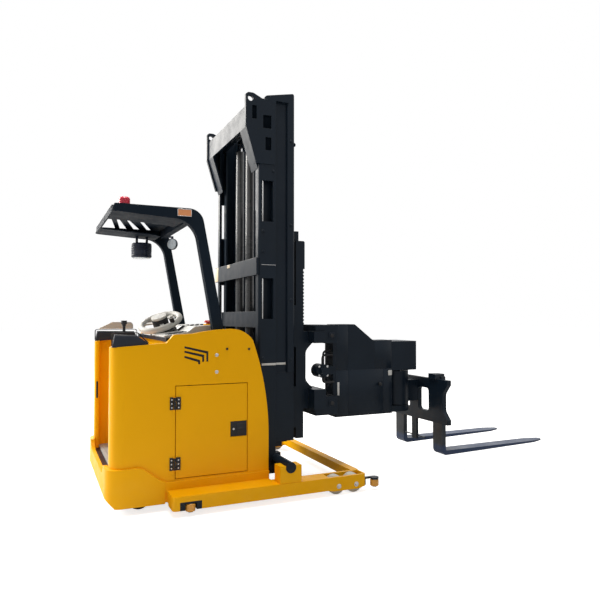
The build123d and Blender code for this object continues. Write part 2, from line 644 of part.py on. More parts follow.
# Inner walls, deck and battery
deck_bottom = DECK_TOP - DECK_THICK
save("bulkheads",
     box(BULKHEAD_ST, BULKHEAD_ST + BULKHEAD_THICK, -wall_half, wall_half, BODY_BOTTOM, deck_bottom),
     box(FRONT_PANEL_ST, nose_front, -wall_half, wall_half, BODY_BOTTOM, deck_bottom))
save("deck", box(BULKHEAD_ST - DECK_OVERHANG, nose_front, -wall_half, wall_half, deck_bottom, DECK_TOP))
save("battery", box(BATTERY_ST, FRONT_PANEL_ST - SIDE_GAP, -BATTERY_HALF, BATTERY_HALF, BODY_BOTTOM, BATTERY_TOP))

# Arm pads on the side walls, a pale fairing on the left one and a flared hand lever on the right one
pad_y = (wall_half - PAD_INSET, BODY_HALF - PAD_MARGIN)


def arm_pad(front, slope):
    return poly_y(
        [(PAD_REAR_ST, panel_top(PAD_REAR_ST)), (front, panel_top(front)), (front, panel_top(front) + 2 * SIDE_GAP),
         (front - slope, PAD_TOP), (PAD_REAR_ST, PAD_TOP)],
        pad_y[0], pad_y[1], [((front - slope, PAD_TOP), PAD_INSET), ((PAD_REAR_ST, PAD_TOP), PAD_INSET / 2)])


save("arm_pads", mirrored(arm_pad(PAD_FRONT_ST[0], PAD_SLOPE)), arm_pad(PAD_FRONT_ST[1], CUT))
fairing_top = PAD_TOP + FAIRING_TALL
fairing = poly_y(
    [(FAIRING_ST[0] - FAIRING_TALL, PAD_TOP), (FAIRING_ST[1] - PAD_INSET, PAD_TOP),
     (FAIRING_ST[1] - PAD_INSET, fairing_top), (FAIRING_ST[0] + FAIRING_TALL, fairing_top)],
    pad_y[0] + SIDE_GAP, pad_y[1] - SIDE_GAP,
    [((FAIRING_ST[0] + FAIRING_TALL, fairing_top), FAIRING_TALL),
     ((FAIRING_ST[1] - PAD_INSET, fairing_top), PAD_INSET)])
save("arm_fairing", fairing)
lever_y = -(pad_y[0] + pad_y[1]) / 2
lever = cyl_z(LEVER_ST, lever_y, LEVER_RADII[0], PAD_TOP, PAD_TOP + LEVER_TALL / 2)
lever_mid = PAD_TOP + LEVER_TALL * 3 / 4
lever += Pos(LEVER_ST, lever_y, lever_mid) * Cone(LEVER_RADII[0], LEVER_RADII[1], LEVER_TALL / 2)
save("hand_lever", lever)

# Steering wheel on a short tilted column, and the console that carries it
tilt = Pos(STEER_ST, STEER_Y, STEER_Z) * Rot(STEER_ROLL, -STEER_TILT, 0)
steer = tilt * Torus(STEER_RADIUS, STEER_RIM)
hub_bottom = -STEER_RIM
steer += tilt * Pos(0, 0, (HUB_RISE + hub_bottom) / 2) * Cylinder(HUB_RADIUS, HUB_RISE - hub_bottom)
for turn in SPOKE_TURNS:
    spoke = Pos(STEER_RADIUS / 2, 0, 0) * Box(STEER_RADIUS, STEER_RIM + SIDE_GAP, STEER_RIM / 2)
    steer += tilt * Rot(0, 0, turn) * spoke
knob_tall = STEER_RIM * 2
knob = Pos(STEER_RADIUS, 0, knob_tall / 2 + STEER_RIM / 2) * Cylinder(STEER_RIM * 3 / 4, knob_tall)
steer += tilt * Rot(0, 0, KNOB_TURN) * knob
save("steering_wheel", steer)
console_points = list(zip(CONSOLE_ST, CONSOLE_Z))
console = poly_y(
    [(CONSOLE_ST[0], DECK_TOP)] + console_points + [(CONSOLE_ST[3], DECK_TOP)], CONSOLE_Y[0], CONSOLE_Y[1],
    [(console_points[0], SIDE_GAP), (console_points[3], 2 * SIDE_GAP)])
column_tall = 2 * HUB_RADIUS
column = tilt * Pos(0, 0, hub_bottom - SLIDE_FIT - column_tall / 2) * Cylinder(COLUMN_RADIUS, column_tall)
column &= box(CONSOLE_ST[0] - HUB_RADIUS, CONSOLE_ST[3], -wall_half, wall_half, DECK_TOP, STEER_Z)
save("instrument_panel", console + column)

# Overhead guard: two bent posts that turn into the roof rails
rail_rear_z = ROOF_TOP - ROOF_RAIL
rail_low_z = rail_rear_z - RAIL_DROP
post_points = [(POST_FOOT_ST[0], DECK_TOP), (POST_FOOT_ST[1], DECK_TOP), (POST_TOP_ST[1], ROOF_TOP),
               (ROOF_REAR_ST + BEACON_BASE, ROOF_TOP), (ROOF_REAR_ST, rail_rear_z), (POST_TOP_ST[0], rail_low_z)]
post_bends = [((POST_TOP_ST[0], rail_low_z), POST_BENDS[0]), ((POST_TOP_ST[1], ROOF_TOP), POST_BENDS[1])]
post = poly_y(post_points, roof_half, GUARD_HALF, post_bends)
post &= poly_z(
    [(ROOF_REAR_ST, roof_half), (ROOF_REAR_ST, GUARD_HALF), (POST_FOOT_ST[1], GUARD_HALF),
     (POST_FOOT_ST[1], roof_half)],
    DECK_TOP, ROOF_TOP, [((ROOF_REAR_ST, GUARD_HALF), RAIL_CORNER)])
save("guard_posts", post, mirrored(post))

# Roof: thin sheet with fanned slots, a rear edge, a front beam and linings that follow the rails' lower curve
sheet_top = ROOF_TOP - ROOF_STEP
sheet_bottom = sheet_top - ROOF_SHEET
beam_bottom = ROOF_TOP - ROOF_BEAM_TALL
edge_st = ROOF_REAR_ST + SIDE_GAP
roof = box(edge_st, ROOF_BEAM_ST[1], -roof_half, roof_half, sheet_bottom, sheet_top)
slot_outer = roof_half - SLOT_MARGIN
for rear_in, front_in, rear_out, front_out in ROOF_SLOTS:
    corners = [(rear_in, SLOT_INNER_Y), (front_in, SLOT_INNER_Y), (front_out, slot_outer), (rear_out, slot_outer)]
    slot = poly_z(corners, sheet_bottom - CUT, sheet_top + CUT, [(corner, SLOT_ROUND) for corner in corners])
    roof -= slot
    roof -= mirrored(slot)
roof += box(edge_st, edge_st + ROOF_EDGE, -roof_half, roof_half, rail_rear_z, sheet_top)
roof += box(ROOF_BEAM_ST[0], ROOF_BEAM_ST[1], -roof_half, roof_half, beam_bottom, sheet_top)
lining = poly_y(post_points, roof_half - LINING_WIDTH, roof_half, post_bends)
lining -= Pos(0, 0, ROOF_SHEET) * lining
lining &= box(edge_st + ROOF_EDGE / 2, ROOF_BEAM_ST[0], 0, roof_half, LINING_Z, sheet_bottom)
roof += lining
roof += mirrored(lining)
save("guard_roof", roof)

# Beacon, side reflectors, hanging work lamp and round mirror
beacon_y = -(roof_half - BEACON_RADIUS - BEACON_BASE)
beacon = cyl_z(BEACON_ST, beacon_y, BEACON_RADIUS + SIDE_GAP, sheet_top, sheet_top + BEACON_BASE)
drum = cyl_z(BEACON_ST, beacon_y, BEACON_RADIUS, sheet_top + BEACON_BASE, ROOF_TOP + BEACON_TALL)
save("beacon", beacon + fillet(drum.edges().sort_by(Axis.Z)[-1], SIDE_GAP))
reflector_top = ROOF_TOP - 2 * SIDE_GAP
reflector = box(REFLECTOR_ST[0], REFLECTOR_ST[1], GUARD_HALF, GUARD_HALF + REFLECTOR_THICK,
                reflector_top - REFLECTOR_TALL, reflector_top)
save("guard_reflectors", reflector, mirrored(reflector))
lamp = cyl_z(LAMP_ST, LAMP_Y, LAMP_RADIUS, LAMP_Z[0], LAMP_Z[1])
lamp = fillet(lamp.edges().filter_by(GeomType.CIRCLE), 2 * SIDE_GAP)
under_rail = poly_y(
    [(ROOF_REAR_ST, LAMP_Z[0]), (POST_TOP_ST[0], LAMP_Z[0]), (POST_TOP_ST[0], rail_low_z),
     (ROOF_REAR_ST, rail_rear_z)],
    0, roof_half)
for arm_side in (-1, 1):
    arm_mid = LAMP_ST + arm_side * LAMP_RADIUS / 2
    arm = box(arm_mid - LAMP_ARM / 2, arm_mid + LAMP_ARM / 2, LAMP_Y - LAMP_ARM, LAMP_Y + LAMP_ARM,
              LAMP_Z[1] - CUT, rail_rear_z)
    lamp += arm & under_rail
mirror_disc = Pos(MIRROR_ST, MIRROR_Y, MIRROR_Z) * Rot(0, 0, MIRROR_TURN) * cyl_x(
    0, 0, MIRROR_RADIUS, -MIRROR_THICK / 2, MIRROR_THICK / 2)
mirror_arm_z = beam_bottom + LAMP_ARM
mirror_disc += box(ROOF_BEAM_ST[1], MIRROR_ST, MIRROR_Y - LAMP_ARM / 2, MIRROR_Y + LAMP_ARM / 2,
                   beam_bottom + SIDE_GAP, mirror_arm_z)
mirror_disc += cyl_z(MIRROR_ST, MIRROR_Y, LAMP_ARM / 2, MIRROR_Z, mirror_arm_z)
save("guard_lamps", lamp, mirror_disc)

# Mast, outer stage: rear channel, recessed web and round front column under a common cap
upright = poly_z(
    [(MAST_REAR_ST, mast_in), (MAST_REAR_ST, MAST_HALF), (back_front, MAST_HALF), (back_front, mast_in)],
    MAST_BOTTOM, MAST_TOP, [((MAST_REAR_ST, MAST_HALF), MAST_CORNER)])
upright -= box(MAST_REAR_ST + MAST_WEB, back_front - MAST_WEB, mast_in - CUT, MAST_HALF - MAST_WEB,
               MAST_BOTTOM - CUT, MAST_TOP + CUT)
upright += box(back_front - CUT, column_st + COLUMN_ROUND + CUT, MAST_HALF - WEB_INSET[0], MAST_HALF - WEB_INSET[1],
               COLUMN_BOTTOM, MAST_TOP)
column_in = mast_in + MAST_WEB
upright += poly_z(
    [(column_st, column_in), (column_st, MAST_HALF), (MAST_FRONT_ST, MAST_HALF), (MAST_FRONT_ST, column_in)],
    COLUMN_BOTTOM, MAST_TOP,
    [((column_st, MAST_HALF), COLUMN_ROUND), ((MAST_FRONT_ST, MAST_HALF), COLUMN_ROUND)])
low_out = MAST_HALF - COLUMN_LOW_INSET
upright += box(back_front - CUT, MAST_FRONT_ST, low_out - MAST_WEB, low_out, COLUMN_LOW_Z, COLUMN_BOTTOM + CUT)
upright += box(column_st, MAST_FRONT_ST, column_in, low_out, COLUMN_LOW_Z, COLUMN_BOTTOM + CUT)
cap_st = MAST_FRONT_ST - CAP_BACK
cap_corners = [(cap_st, mast_in), (cap_st, MAST_HALF), (MAST_FRONT_ST, MAST_HALF), (MAST_FRONT_ST, mast_in)]
cap = poly_y(
    [(cap_st, MAST_TOP - CUT), (MAST_FRONT_ST, MAST_TOP - CUT), (MAST_FRONT_ST, MAST_TOP + CAP_RISE[1]),
     (cap_st, MAST_TOP + CAP_RISE[0])],
    mast_in, MAST_HALF,
    [((MAST_FRONT_ST, MAST_TOP + CAP_RISE[1]), CAP_CORNER), ((cap_st, MAST_TOP + CAP_RISE[0]), CAP_CORNER)])
cap_rounds = [(corner, CAP_CORNER) for corner in cap_corners]
upright += cap & poly_z(cap_corners, MAST_BOTTOM, MAST_TOP + CAP_RISE[1], cap_rounds)
for z0, z1 in MAST_WINDOWS:
    upright -= box(MAST_REAR_ST + MAST_WINDOW_BACK, back_front - MAST_WEB - SWING_GAP, MAST_HALF - MAST_WEB - CUT,
                   MAST_HALF + CUT, z0, z1)
save("mast_outer_uprights", upright, mirrored(upright))

# Lifting ears: plates over the tops of the uprights that reach back to an eye
ear_rear = MAST_REAR_ST + EAR_REAR
ear_waist = MAST_TOP + EAR_WAIST_Z
ear_foot_st = MAST_REAR_ST + EAR_FOOT[0]
ear_foot = MAST_TOP + EAR_FOOT[1]
ear_crest = MAST_TOP + EAR_CREST_Z
ear_points = [(ear_rear, ear_waist), (ear_foot_st, ear_foot), (MAST_REAR_ST + EAR_FRONT, ear_foot),
              (MAST_REAR_ST + EAR_FRONT, MAST_TOP + EAR_NOSE_Z), (MAST_REAR_ST + EAR_CREST[1], ear_crest),
              (MAST_REAR_ST + EAR_CREST[0], ear_crest), (ear_rear, ear_crest - PORTAL_THICK)]
ear_rounds = [((MAST_REAR_ST + EAR_CREST[1], ear_crest), 2 * PORTAL_THICK),
              ((MAST_REAR_ST + EAR_CREST[0], ear_crest), PORTAL_THICK)]
ear = poly_y(ear_points, MAST_HALF, MAST_HALF + EAR_PROUD, ear_rounds)
ear_back = poly_y(ear_points, MAST_HALF - EAR_PLATE, MAST_HALF + CUT, ear_rounds)
ear += ear_back & box(ear_rear, MAST_REAR_ST, 0, HALF_WIDTH, 0, ear_crest)
ear -= cyl_y(MAST_REAR_ST + EAR_EYE[0], MAST_TOP + EAR_EYE[1], EAR_EYE_RADIUS,
             MAST_HALF - EAR_PLATE - CUT, MAST_HALF + EAR_PROUD + CUT)
for x0, x1, z0, z1 in EAR_WINDOWS:
    ear -= box(MAST_REAR_ST + x0, MAST_REAR_ST + x1, MAST_HALF, MAST_HALF + EAR_PROUD + CUT,
               MAST_TOP + z0, MAST_TOP + z1)
save("lifting_ears", ear, mirrored(ear))

# Outer cross members: portal plate between the ears, mid cross plate, foot with the trunnion pins
beam_half = MAST_HALF - EAR_PLATE
portal_st = ear_rear + PORTAL_THICK - EAR_PROUD / 2
portal_top = ear_waist + PORTAL_TALL
lean = (ear_foot_st - ear_rear) / (ear_waist - ear_foot)
portal = poly_y(
    [(portal_st, ear_waist), (portal_st + PORTAL_THICK, ear_waist),
     (portal_st + PORTAL_THICK, portal_top - PORTAL_THICK), (MAST_REAR_ST, portal_top + 2 * PORTAL_THICK),
     (MAST_REAR_ST, portal_top + 3 * PORTAL_THICK), (portal_st, portal_top)],
    -beam_half, beam_half)
leg_low = ear_waist - (MAST_REAR_ST - portal_st) / lean
portal_leg = poly_y(
    [(portal_st, ear_waist + PORTAL_THICK), (portal_st + PORTAL_THICK, ear_waist + PORTAL_THICK),
     (portal_st + PORTAL_THICK, ear_waist), (MAST_REAR_ST, leg_low + PORTAL_THICK / lean), (MAST_REAR_ST, leg_low),
     (portal_st, ear_waist)],
    beam_half - PORTAL_LEG, beam_half)
portal += portal_leg + mirrored(portal_leg)
cross_plate = box(MAST_REAR_ST - CROSS_THICK, MAST_REAR_ST, -MAST_HALF, MAST_HALF, CROSS_Z[0], CROSS_Z[1])
foot_st = MAST_REAR_ST + CROSS_THICK
foot_z = MAST_BOTTOM - FOOT_TALL
foot = box(foot_st, foot_st + FOOT_DEPTH, -mast_in, mast_in, foot_z, MAST_BOTTOM)
foot_side = box(foot_st, TRUNNION_ST + TRUNNION_RADIUS, mast_in, MAST_HALF, foot_z, MAST_BOTTOM)
foot_side += cyl_y(TRUNNION_ST, TRUNNION_Z, TRUNNION_RADIUS, mast_in, HALF_WIDTH)
save("mast_outer_beams", portal, cross_plate, foot + foot_side + mirrored(foot_side))

# Pedestals on the legs with an open seat for the trunnion pin
seat = TRUNNION_RADIUS + SLIDE_FIT / 2
pedestal = box(TRUNNION_ST - PEDESTAL_HALF, TRUNNION_ST + PEDESTAL_HALF, PEDESTAL_Y[0], PEDESTAL_Y[1],
               LEG_TOP, LEG_TOP + PEDESTAL_TALL)
pedestal -= cyl_y(TRUNNION_ST, TRUNNION_Z, seat, PEDESTAL_Y[0] - CUT, PEDESTAL_Y[1] + CUT)
pedestal -= box(TRUNNION_ST - seat, TRUNNION_ST + seat, PEDESTAL_Y[0] - CUT, PEDESTAL_Y[1] + CUT,
                TRUNNION_Z, LEG_TOP + PEDESTAL_TALL + CUT)
save("mast_pedestals", pedestal, mirrored(pedestal))

# Lift barrels on the foot and their rods
barrel = cyl_z(BARREL_ST, BARREL_Y, BARREL_RADIUS, MAST_BOTTOM, BARREL_TOP)
barrel -= cyl_z(BARREL_ST, BARREL_Y, ROD_RADIUS + SLIDE_FIT, MAST_BOTTOM + BARREL_FLOOR, BARREL_TOP + CUT)
save("lift_barrels", barrel, mirrored(barrel))
shelf_z = MID_Z[1] - TIE_TALL * 2 / 3
rod = cyl_z(BARREL_ST, BARREL_Y, ROD_RADIUS, MAST_BOTTOM + BARREL_FLOOR + BARREL_RADIUS, shelf_z)
save("lift_rods", rod, mirrored(rod))


# Mast, moving stages: channels that open inward, rollers on the outside of the web
def stage(st, half, z, roller_r, roller_st):
    x0, x1 = st
    channel = box(x0, x1, half - STAGE_WIDTH, half, z[0], z[1])
    channel -= box(x0 + STAGE_WEB, x1 - STAGE_WEB, half - STAGE_WIDTH - CUT, half - STAGE_WEB, z[0] - CUT, z[1] + CUT)
    for zc in (z[0] + roller_r + SIDE_GAP, z[0] + 5 * roller_r):
        channel += cyl_y(roller_st, zc, roller_r, half - CUT, half + STAGE_GAP + ROLLER_REACH)
    return channel


mid_half = mast_in - STAGE_GAP
mid_roller = (MAST_BACK_DEPTH - 2 * MAST_WEB) / 2 - SLIDE_FIT
mid = stage(MID_ST, mid_half, MID_Z, mid_roller, MAST_REAR_ST + MAST_BACK_DEPTH / 2)
save("mast_mid_uprights", mid, mirrored(mid))
tie_st = MID_ST[0] - TIE_THICK
top_tie = box(tie_st, MID_ST[0], -mid_half, mid_half, MID_Z[1] - TIE_TALL, MID_Z[1])
shelf_half = BARREL_Y + 2 * ROD_RADIUS
top_tie += box(tie_st, BARREL_ST + ROD_RADIUS, -shelf_half, shelf_half, shelf_z, MID_Z[1])
# the lower tie bends back round the lift barrels
tie_back = tie_st - SIDE_GAP
low_tie = box(tie_back, tie_back + TIE_THICK, -mid_half, mid_half, TIE_LOW_Z, TIE_LOW_Z + TIE_TALL)
low_pad = box(tie_back + TIE_THICK, MID_ST[0], mid_half - STAGE_WIDTH, mid_half, TIE_LOW_Z, TIE_LOW_Z + TIE_TALL)
save("mast_mid_beams", top_tie, low_tie + low_pad + mirrored(low_pad))

inner_half = mid_half - STAGE_WIDTH - STAGE_GAP
inner_roller = (MID_DEPTH - 2 * STAGE_WEB) / 2 - SLIDE_FIT
inner = stage(INNER_ST, inner_half, INNER_Z, inner_roller, (MID_ST[0] + MID_ST[1]) / 2)
save("mast_inner_uprights", inner, mirrored(inner))
inner_in = inner_half - STAGE_WIDTH
inner_tie = INNER_ST[0] + 2 * TIE_THICK
save("mast_inner_beams",
     box(INNER_ST[0], inner_tie, -inner_in, inner_in, INNER_Z[1] - TIE_TALL, INNER_Z[1]),
     box(INNER_ST[0], inner_tie, -inner_in, inner_in, INNER_Z[0], INNER_Z[0] + TIE_TALL))
ram_st = INNER_ST[0] + RAM_FORWARD
ram = cyl_z(ram_st, 0, RAM_RADIUS, INNER_Z[0] + TIE_TALL, RAM_TOP)
ram += box(inner_tie, ram_st + RAM_RADIUS, -RAM_RADIUS, RAM_RADIUS, INNER_Z[0], INNER_Z[0] + TIE_TALL)
save("free_lift_cylinder", ram)

# Lift carriage: roller cheeks, cross plates, side bars with ribbed chain guides and curved gussets
carriage_half = inner_in - STAGE_GAP
carriage_roller = (INNER_DEPTH - 2 * STAGE_WEB) / 2 - SLIDE_FIT
roller_st = (INNER_ST[0] + INNER_ST[1]) / 2
cheek = box(roller_st - 2 * CARRIAGE_CHEEK, CARRIAGE_FACE_ST + CUT, carriage_half - CARRIAGE_CHEEK, carriage_half,
            CHEEK_Z[0], CHEEK_Z[1])
for zc in CHEEK_ROLLERS:
    cheek += cyl_y(roller_st, zc, carriage_roller, carriage_half - CUT, carriage_half + STAGE_GAP + ROLLER_REACH)
bar = box(bar_st, bar_front, bar_y[0], bar_y[1], BAR_Z[0], BAR_Z[1])
bar_mid = (bar_y[0] + bar_y[1]) / 2
bar += box(bar_st + CUT, bar_st + ANCHOR_SIZE[0], bar_mid - ANCHOR_SIZE[1] / 2, bar_mid + ANCHOR_SIZE[1] / 2,
           BAR_Z[1] - CUT, BAR_Z[1] + ANCHOR_SIZE[2])
gusset_z = (LOWER_RAIL_Z[1], UPPER_RAIL_Z[0])
gusset_lip = bar_front + GUSSET_LIP
gusset_tip = bar_front + GUSSET_REACH
bar += poly_y(
    [(bar_front - CUT, gusset_z[0]), (gusset_tip, gusset_z[0]), (gusset_lip, gusset_z[0] + GUSSET_RUN),
     (gusset_lip, gusset_z[1] - GUSSET_RUN), (gusset_tip, gusset_z[1]), (bar_front - CUT, gusset_z[1])],
    bar_y[0], bar_y[1],
    [((gusset_lip, gusset_z[0] + GUSSET_RUN), GUSSET_RUN), ((gusset_lip, gusset_z[1] - GUSSET_RUN), GUSSET_RUN)])
block_depth, block_z = CHAIN_BLOCK
rib_count = int((block_z - UPPER_RAIL_Z[1]) / RIB_PITCH) - 1
for rib in range(rib_count):
    z0 = UPPER_RAIL_Z[1] + (rib + 1) * RIB_PITCH
    bar += box(bar_front - CUT, bar_front + RIB_SIZE[0], bar_y[1] - RIB_SIZE[1], bar_y[1], z0, z0 + RIB_SIZE[2])
bar += poly_y(
    [(bar_front - CUT, block_z), (bar_front + block_depth, block_z), (bar_front + block_depth, BAR_Z[1]),
     (bar_front - CUT, BAR_Z[1])],
    bar_y[0], bar_y[1], [((bar_front + block_depth, BAR_Z[1]), block_depth)])
frame = cheek + mirrored(cheek) + bar + mirrored(bar)
for z0, z1 in CARRIAGE_PLATES:
    frame += box(CARRIAGE_FACE_ST, bar_st, -bar_y[1], bar_y[1], z0, z1)
save("carriage_frame", frame)
rails = []
for z0, z1 in (UPPER_RAIL_Z, LOWER_RAIL_Z):
    rail_pad = box(bar_front, rail_st + CUT, bar_y[0], bar_y[1], z0, z1)
    rails.append(box(rail_st, rail_front, -RAIL_HALF, RAIL_HALF, z0, z1) + rail_pad + mirrored(rail_pad))
save("traverse_rails", *rails)

# Traverse slider that hooks over the rails, and its hydraulic motor
slider_face = rail_front + SLIDE_FIT
slider_y = (HEAD_Y - SLIDER_HALF, HEAD_Y + SLIDER_HALF)
arm_y = (HEAD_Y - ARM_HALF, HEAD_Y - ARM_HALF + ARM_WIDTH)
cover_y = (HEAD_Y - ARM_HALF, HEAD_Y + ARM_HALF)
slider = box(arm_rear - SLIDER_WALL, arm_rear, arm_y[0], arm_y[1], ARM_Z[0] + LIP_THICK, ARM_Z[1] - LIP_THICK)
for seat_z, out in ((UPPER_RAIL_Z[1] + SLIDE_FIT, 1), (LOWER_RAIL_Z[0] - SLIDE_FIT, -1)):
    lip_z = sorted((seat_z, seat_z + out * LIP_THICK))
    slider += box(rail_st + LIP_GRIP, arm_rear, slider_y[0], slider_y[1], lip_z[0], lip_z[1])
    knuckle_z = sorted((seat_z + out * LIP_THICK, seat_z - out * KNUCKLE_TALL))
    slider += box(slider_face, arm_rear, slider_y[0], slider_y[1], knuckle_z[0], knuckle_z[1])
save("traverse_slider", slider)
motor_st = slider_face - MOTOR_BACK
motor_y = (arm_y[0] - MOTOR_STEPS[0], arm_y[0] + MOTOR_DEEP)
motor = cyl_y(motor_st, MOTOR_Z, MOTOR_RADII[0], motor_y[0], motor_y[1])
motor += cyl_y(motor_st, MOTOR_Z, MOTOR_RADII[1], motor_y[0] - MOTOR_STEPS[1], motor_y[1])
motor += box(motor_st, arm_rear - SLIDER_WALL, arm_y[0], arm_y[0] + MOTOR_BLOCK,
             MOTOR_Z - MOTOR_RADII[1], MOTOR_Z + MOTOR_RADII[1])
save("traverse_motor", motor)

# Arm: hollow box that carries the swivel bearings at its front
arm_slope = [(arm_rear + ARM_SLOPE[1], ARM_SHELF_Z), (arm_rear + ARM_SLOPE[0], ARM_Z[1])]
arm = poly_y(
    [(arm_rear, ARM_Z[0]), (arm_front, ARM_Z[0]), (arm_front, ARM_SHELF_Z)] + arm_slope + [(arm_rear, ARM_Z[1])],
    arm_y[0], arm_y[1], [(arm_slope[0], ARM_BEND), (arm_slope[1], ARM_BEND)])
arm -= poly_y(
    [(arm_rear + ARM_WALL, ARM_Z[0] + ARM_WALL), (arm_front - ARM_WALL, ARM_Z[0] + ARM_WALL),
     (arm_front - ARM_WALL, ARM_SHELF_Z - ARM_WALL), (arm_slope[0][0] - ARM_WALL / 2, ARM_SHELF_Z - ARM_WALL),
     (arm_slope[1][0] - ARM_WALL / 2, ARM_Z[1] - ARM_WALL), (arm_rear + ARM_WALL, ARM_Z[1] - ARM_WALL)],
    arm_y[0] + ARM_WALL, arm_y[1] - ARM_WALL)
lug_top = DRUM_Z[0] - SWING_GAP
lug = box(arm_front - CUT, PIVOT_ST, HEAD_Y - DRUM_RADIUS, HEAD_Y + DRUM_RADIUS, ARM_Z[0], lug_top)
lug += cyl_z(PIVOT_ST, HEAD_Y, DRUM_RADIUS, ARM_Z[0], lug_top)
lug -= cyl_z(PIVOT_ST, HEAD_Y, PIVOT_PIN_RADIUS + PIN_FIT, ARM_Z[0] - CUT, lug_top + CUT)
save("swing_arm", arm + lug)
cover = box(arm_front, COVER_FRONT_ST, cover_y[0], cover_y[1], COVER_Z[0], COVER_Z[1])
cover -= box(arm_front - CUT, COVER_FRONT_ST - COVER_WALL, cover_y[0] + COVER_WALL, cover_y[1] - COVER_WALL,
             COVER_Z[0] + COVER_FLOOR, COVER_Z[1] - COVER_WALL)
cover -= cyl_z(PIVOT_ST, HEAD_Y, PIVOT_PIN_RADIUS + PIN_FIT, COVER_Z[0] - CUT, COVER_Z[0] + COVER_FLOOR + CUT)
save("arm_cover", cover)

# Swivelling drum with the fork carriage
swivel = cyl_z(PIVOT_ST, HEAD_Y, DRUM_RADIUS, DRUM_Z[0], DRUM_Z[1])
swivel += cyl_z(PIVOT_ST, HEAD_Y, PIVOT_PIN_RADIUS, ARM_Z[0] + SWING_GAP, COVER_Z[0] + COVER_FLOOR - SWING_GAP)
swivel += box(PIVOT_ST, FORK_BACK_ST, HEAD_Y - NECK_HALF, HEAD_Y + NECK_HALF, NECK_Z[0], NECK_Z[1])
save("swivel_drum", swivel)
fork_x = FORK_BACK_ST + FORK_PLATE
plate_low, plate_high = FORK_PLATE_Z
waist = FORK_PLATE_HALF - FORK_WAIST
shoulder = FORK_THICK
right_edge = [(FORK_PLATE_HALF, plate_low), (FORK_PLATE_HALF, plate_low + shoulder), (waist, WAIST_Z[0]),
              (waist, WAIST_Z[1]), (FORK_PLATE_HALF, plate_high - shoulder), (FORK_PLATE_HALF, plate_high)]
left_edge = [(-y, z) for y, z in reversed(right_edge)]
plate = poly_x(right_edge + left_edge, FORK_BACK_ST, fork_x,
               [((side * waist, z), WAIST_ROUND) for side in (-1, 1) for z in WAIST_Z])
for side in (-1, 1):
    inner, outer = sorted((side * OVAL_Y[0], side * OVAL_Y[1]))
    for y in (inner, outer):
        for z in OVAL_Z:
            plate -= cyl_x(y, z, OVAL_RADIUS, FORK_BACK_ST - CUT, fork_x + CUT)
    plate -= box(FORK_BACK_ST - CUT, fork_x + CUT, inner - OVAL_RADIUS, outer + OVAL_RADIUS, OVAL_Z[0], OVAL_Z[1])
    plate -= box(FORK_BACK_ST - CUT, fork_x + CUT, inner, outer, OVAL_Z[0] - OVAL_RADIUS, OVAL_Z[1] + OVAL_RADIUS)
plate += box(FORK_BACK_ST, FORK_BACK_ST + HANGER_THICK, -HANGER_HALF, HANGER_HALF, HANGER_Z, plate_low + CUT)
rod_half, rod_radius, rod_z = HANGER_ROD
plate += cyl_y(FORK_BACK_ST + HANGER_THICK / 2, rod_z, rod_radius, -rod_half, rod_half)
save("fork_carriage", Pos(0, HEAD_Y, 0) * plate)
fork_heel = fork_x + FORK_THICK
fork_tip = fork_heel + FORK_LENGTH
fork_top = FORK_BOTTOM + FORK_THICK
latch_half, latch_tall, latch_back = LATCH_BLOCK
forks = []
for side in (-1, 1):
    yc = HEAD_Y + side * FORK_CENTRE
    half = FORK_WIDTH / 2
    fork = poly_y(
        [(fork_x, FORK_BOTTOM), (fork_tip, fork_top - FORK_TIP_THICK), (fork_tip, fork_top), (fork_heel, fork_top),
         (fork_heel, plate_high + latch_tall / 2), (fork_x, plate_high + latch_tall / 2)],
        yc - half, yc + half, [((fork_x, FORK_BOTTOM), FORK_HEEL), ((fork_heel, fork_top), FORK_TIP_THICK)])
    fork += box(FORK_BACK_ST - latch_back, fork_heel, yc - latch_half, yc + latch_half,
                plate_high, plate_high + latch_tall)
    fork &= poly_z(
        [(FORK_BACK_ST - FORK_THICK, yc - half), (fork_tip - FORK_TIP_RUN, yc - half), (fork_tip, yc - FORK_TIP_HALF),
         (fork_tip, yc + FORK_TIP_HALF), (fork_tip - FORK_TIP_RUN, yc + half), (FORK_BACK_ST - FORK_THICK, yc + half)],
        0, MAST_TOP, [((fork_tip, yc - FORK_TIP_HALF), CAP_CORNER), ((fork_tip, yc + FORK_TIP_HALF), CAP_CORNER)])
    forks.append(fork)
save("forks", *forks)

# Drive unit, steered about a vertical axis, and its wheel
fork_in = DRIVE_WHEEL_WIDTH / 2 + SIDE_GAP
cheek_out = fork_in + DRIVE_CHEEK
crown_bottom = 2 * (DRIVE_WHEEL_RADIUS + SIDE_GAP)
cheek_st = (DRIVE_ST - DRIVE_CHEEK_HALF, DRIVE_ST + DRIVE_CHEEK_HALF)
unit = cyl_z(DRIVE_ST, 0, DRIVE_NECK_RADIUS, DRIVE_CROWN_Z - CUT, BRIDGE_Z[1] + DRIVE_NECK_RADIUS)
unit += cyl_z(DRIVE_ST, 0, DRIVE_MOTOR_RADIUS, BRIDGE_Z[1] + SLIDE_FIT, DRIVE_MOTOR_TOP)
unit += box(cheek_st[0], cheek_st[1], fork_in, cheek_out, DRIVE_WHEEL_RADIUS - DRIVE_CHEEK_HALF, DRIVE_CROWN_Z)
unit += box(cheek_st[0], cheek_st[1], -DRIVE_CHEEK_HALF, cheek_out, crown_bottom, DRIVE_CROWN_Z)
unit += cyl_y(DRIVE_ST, DRIVE_WHEEL_RADIUS, DRIVE_AXLE_RADIUS, -DRIVE_WHEEL_WIDTH / 2 + SIDE_GAP, cheek_out - CUT)
save("drive_unit", unit)
tyre = ring_y(DRIVE_ST, DRIVE_WHEEL_RADIUS, DRIVE_WHEEL_RADIUS, DRIVE_AXLE_RADIUS + PIN_FIT,
              -DRIVE_WHEEL_WIDTH / 2, DRIVE_WHEEL_WIDTH / 2)
save("drive_wheel", tyre)

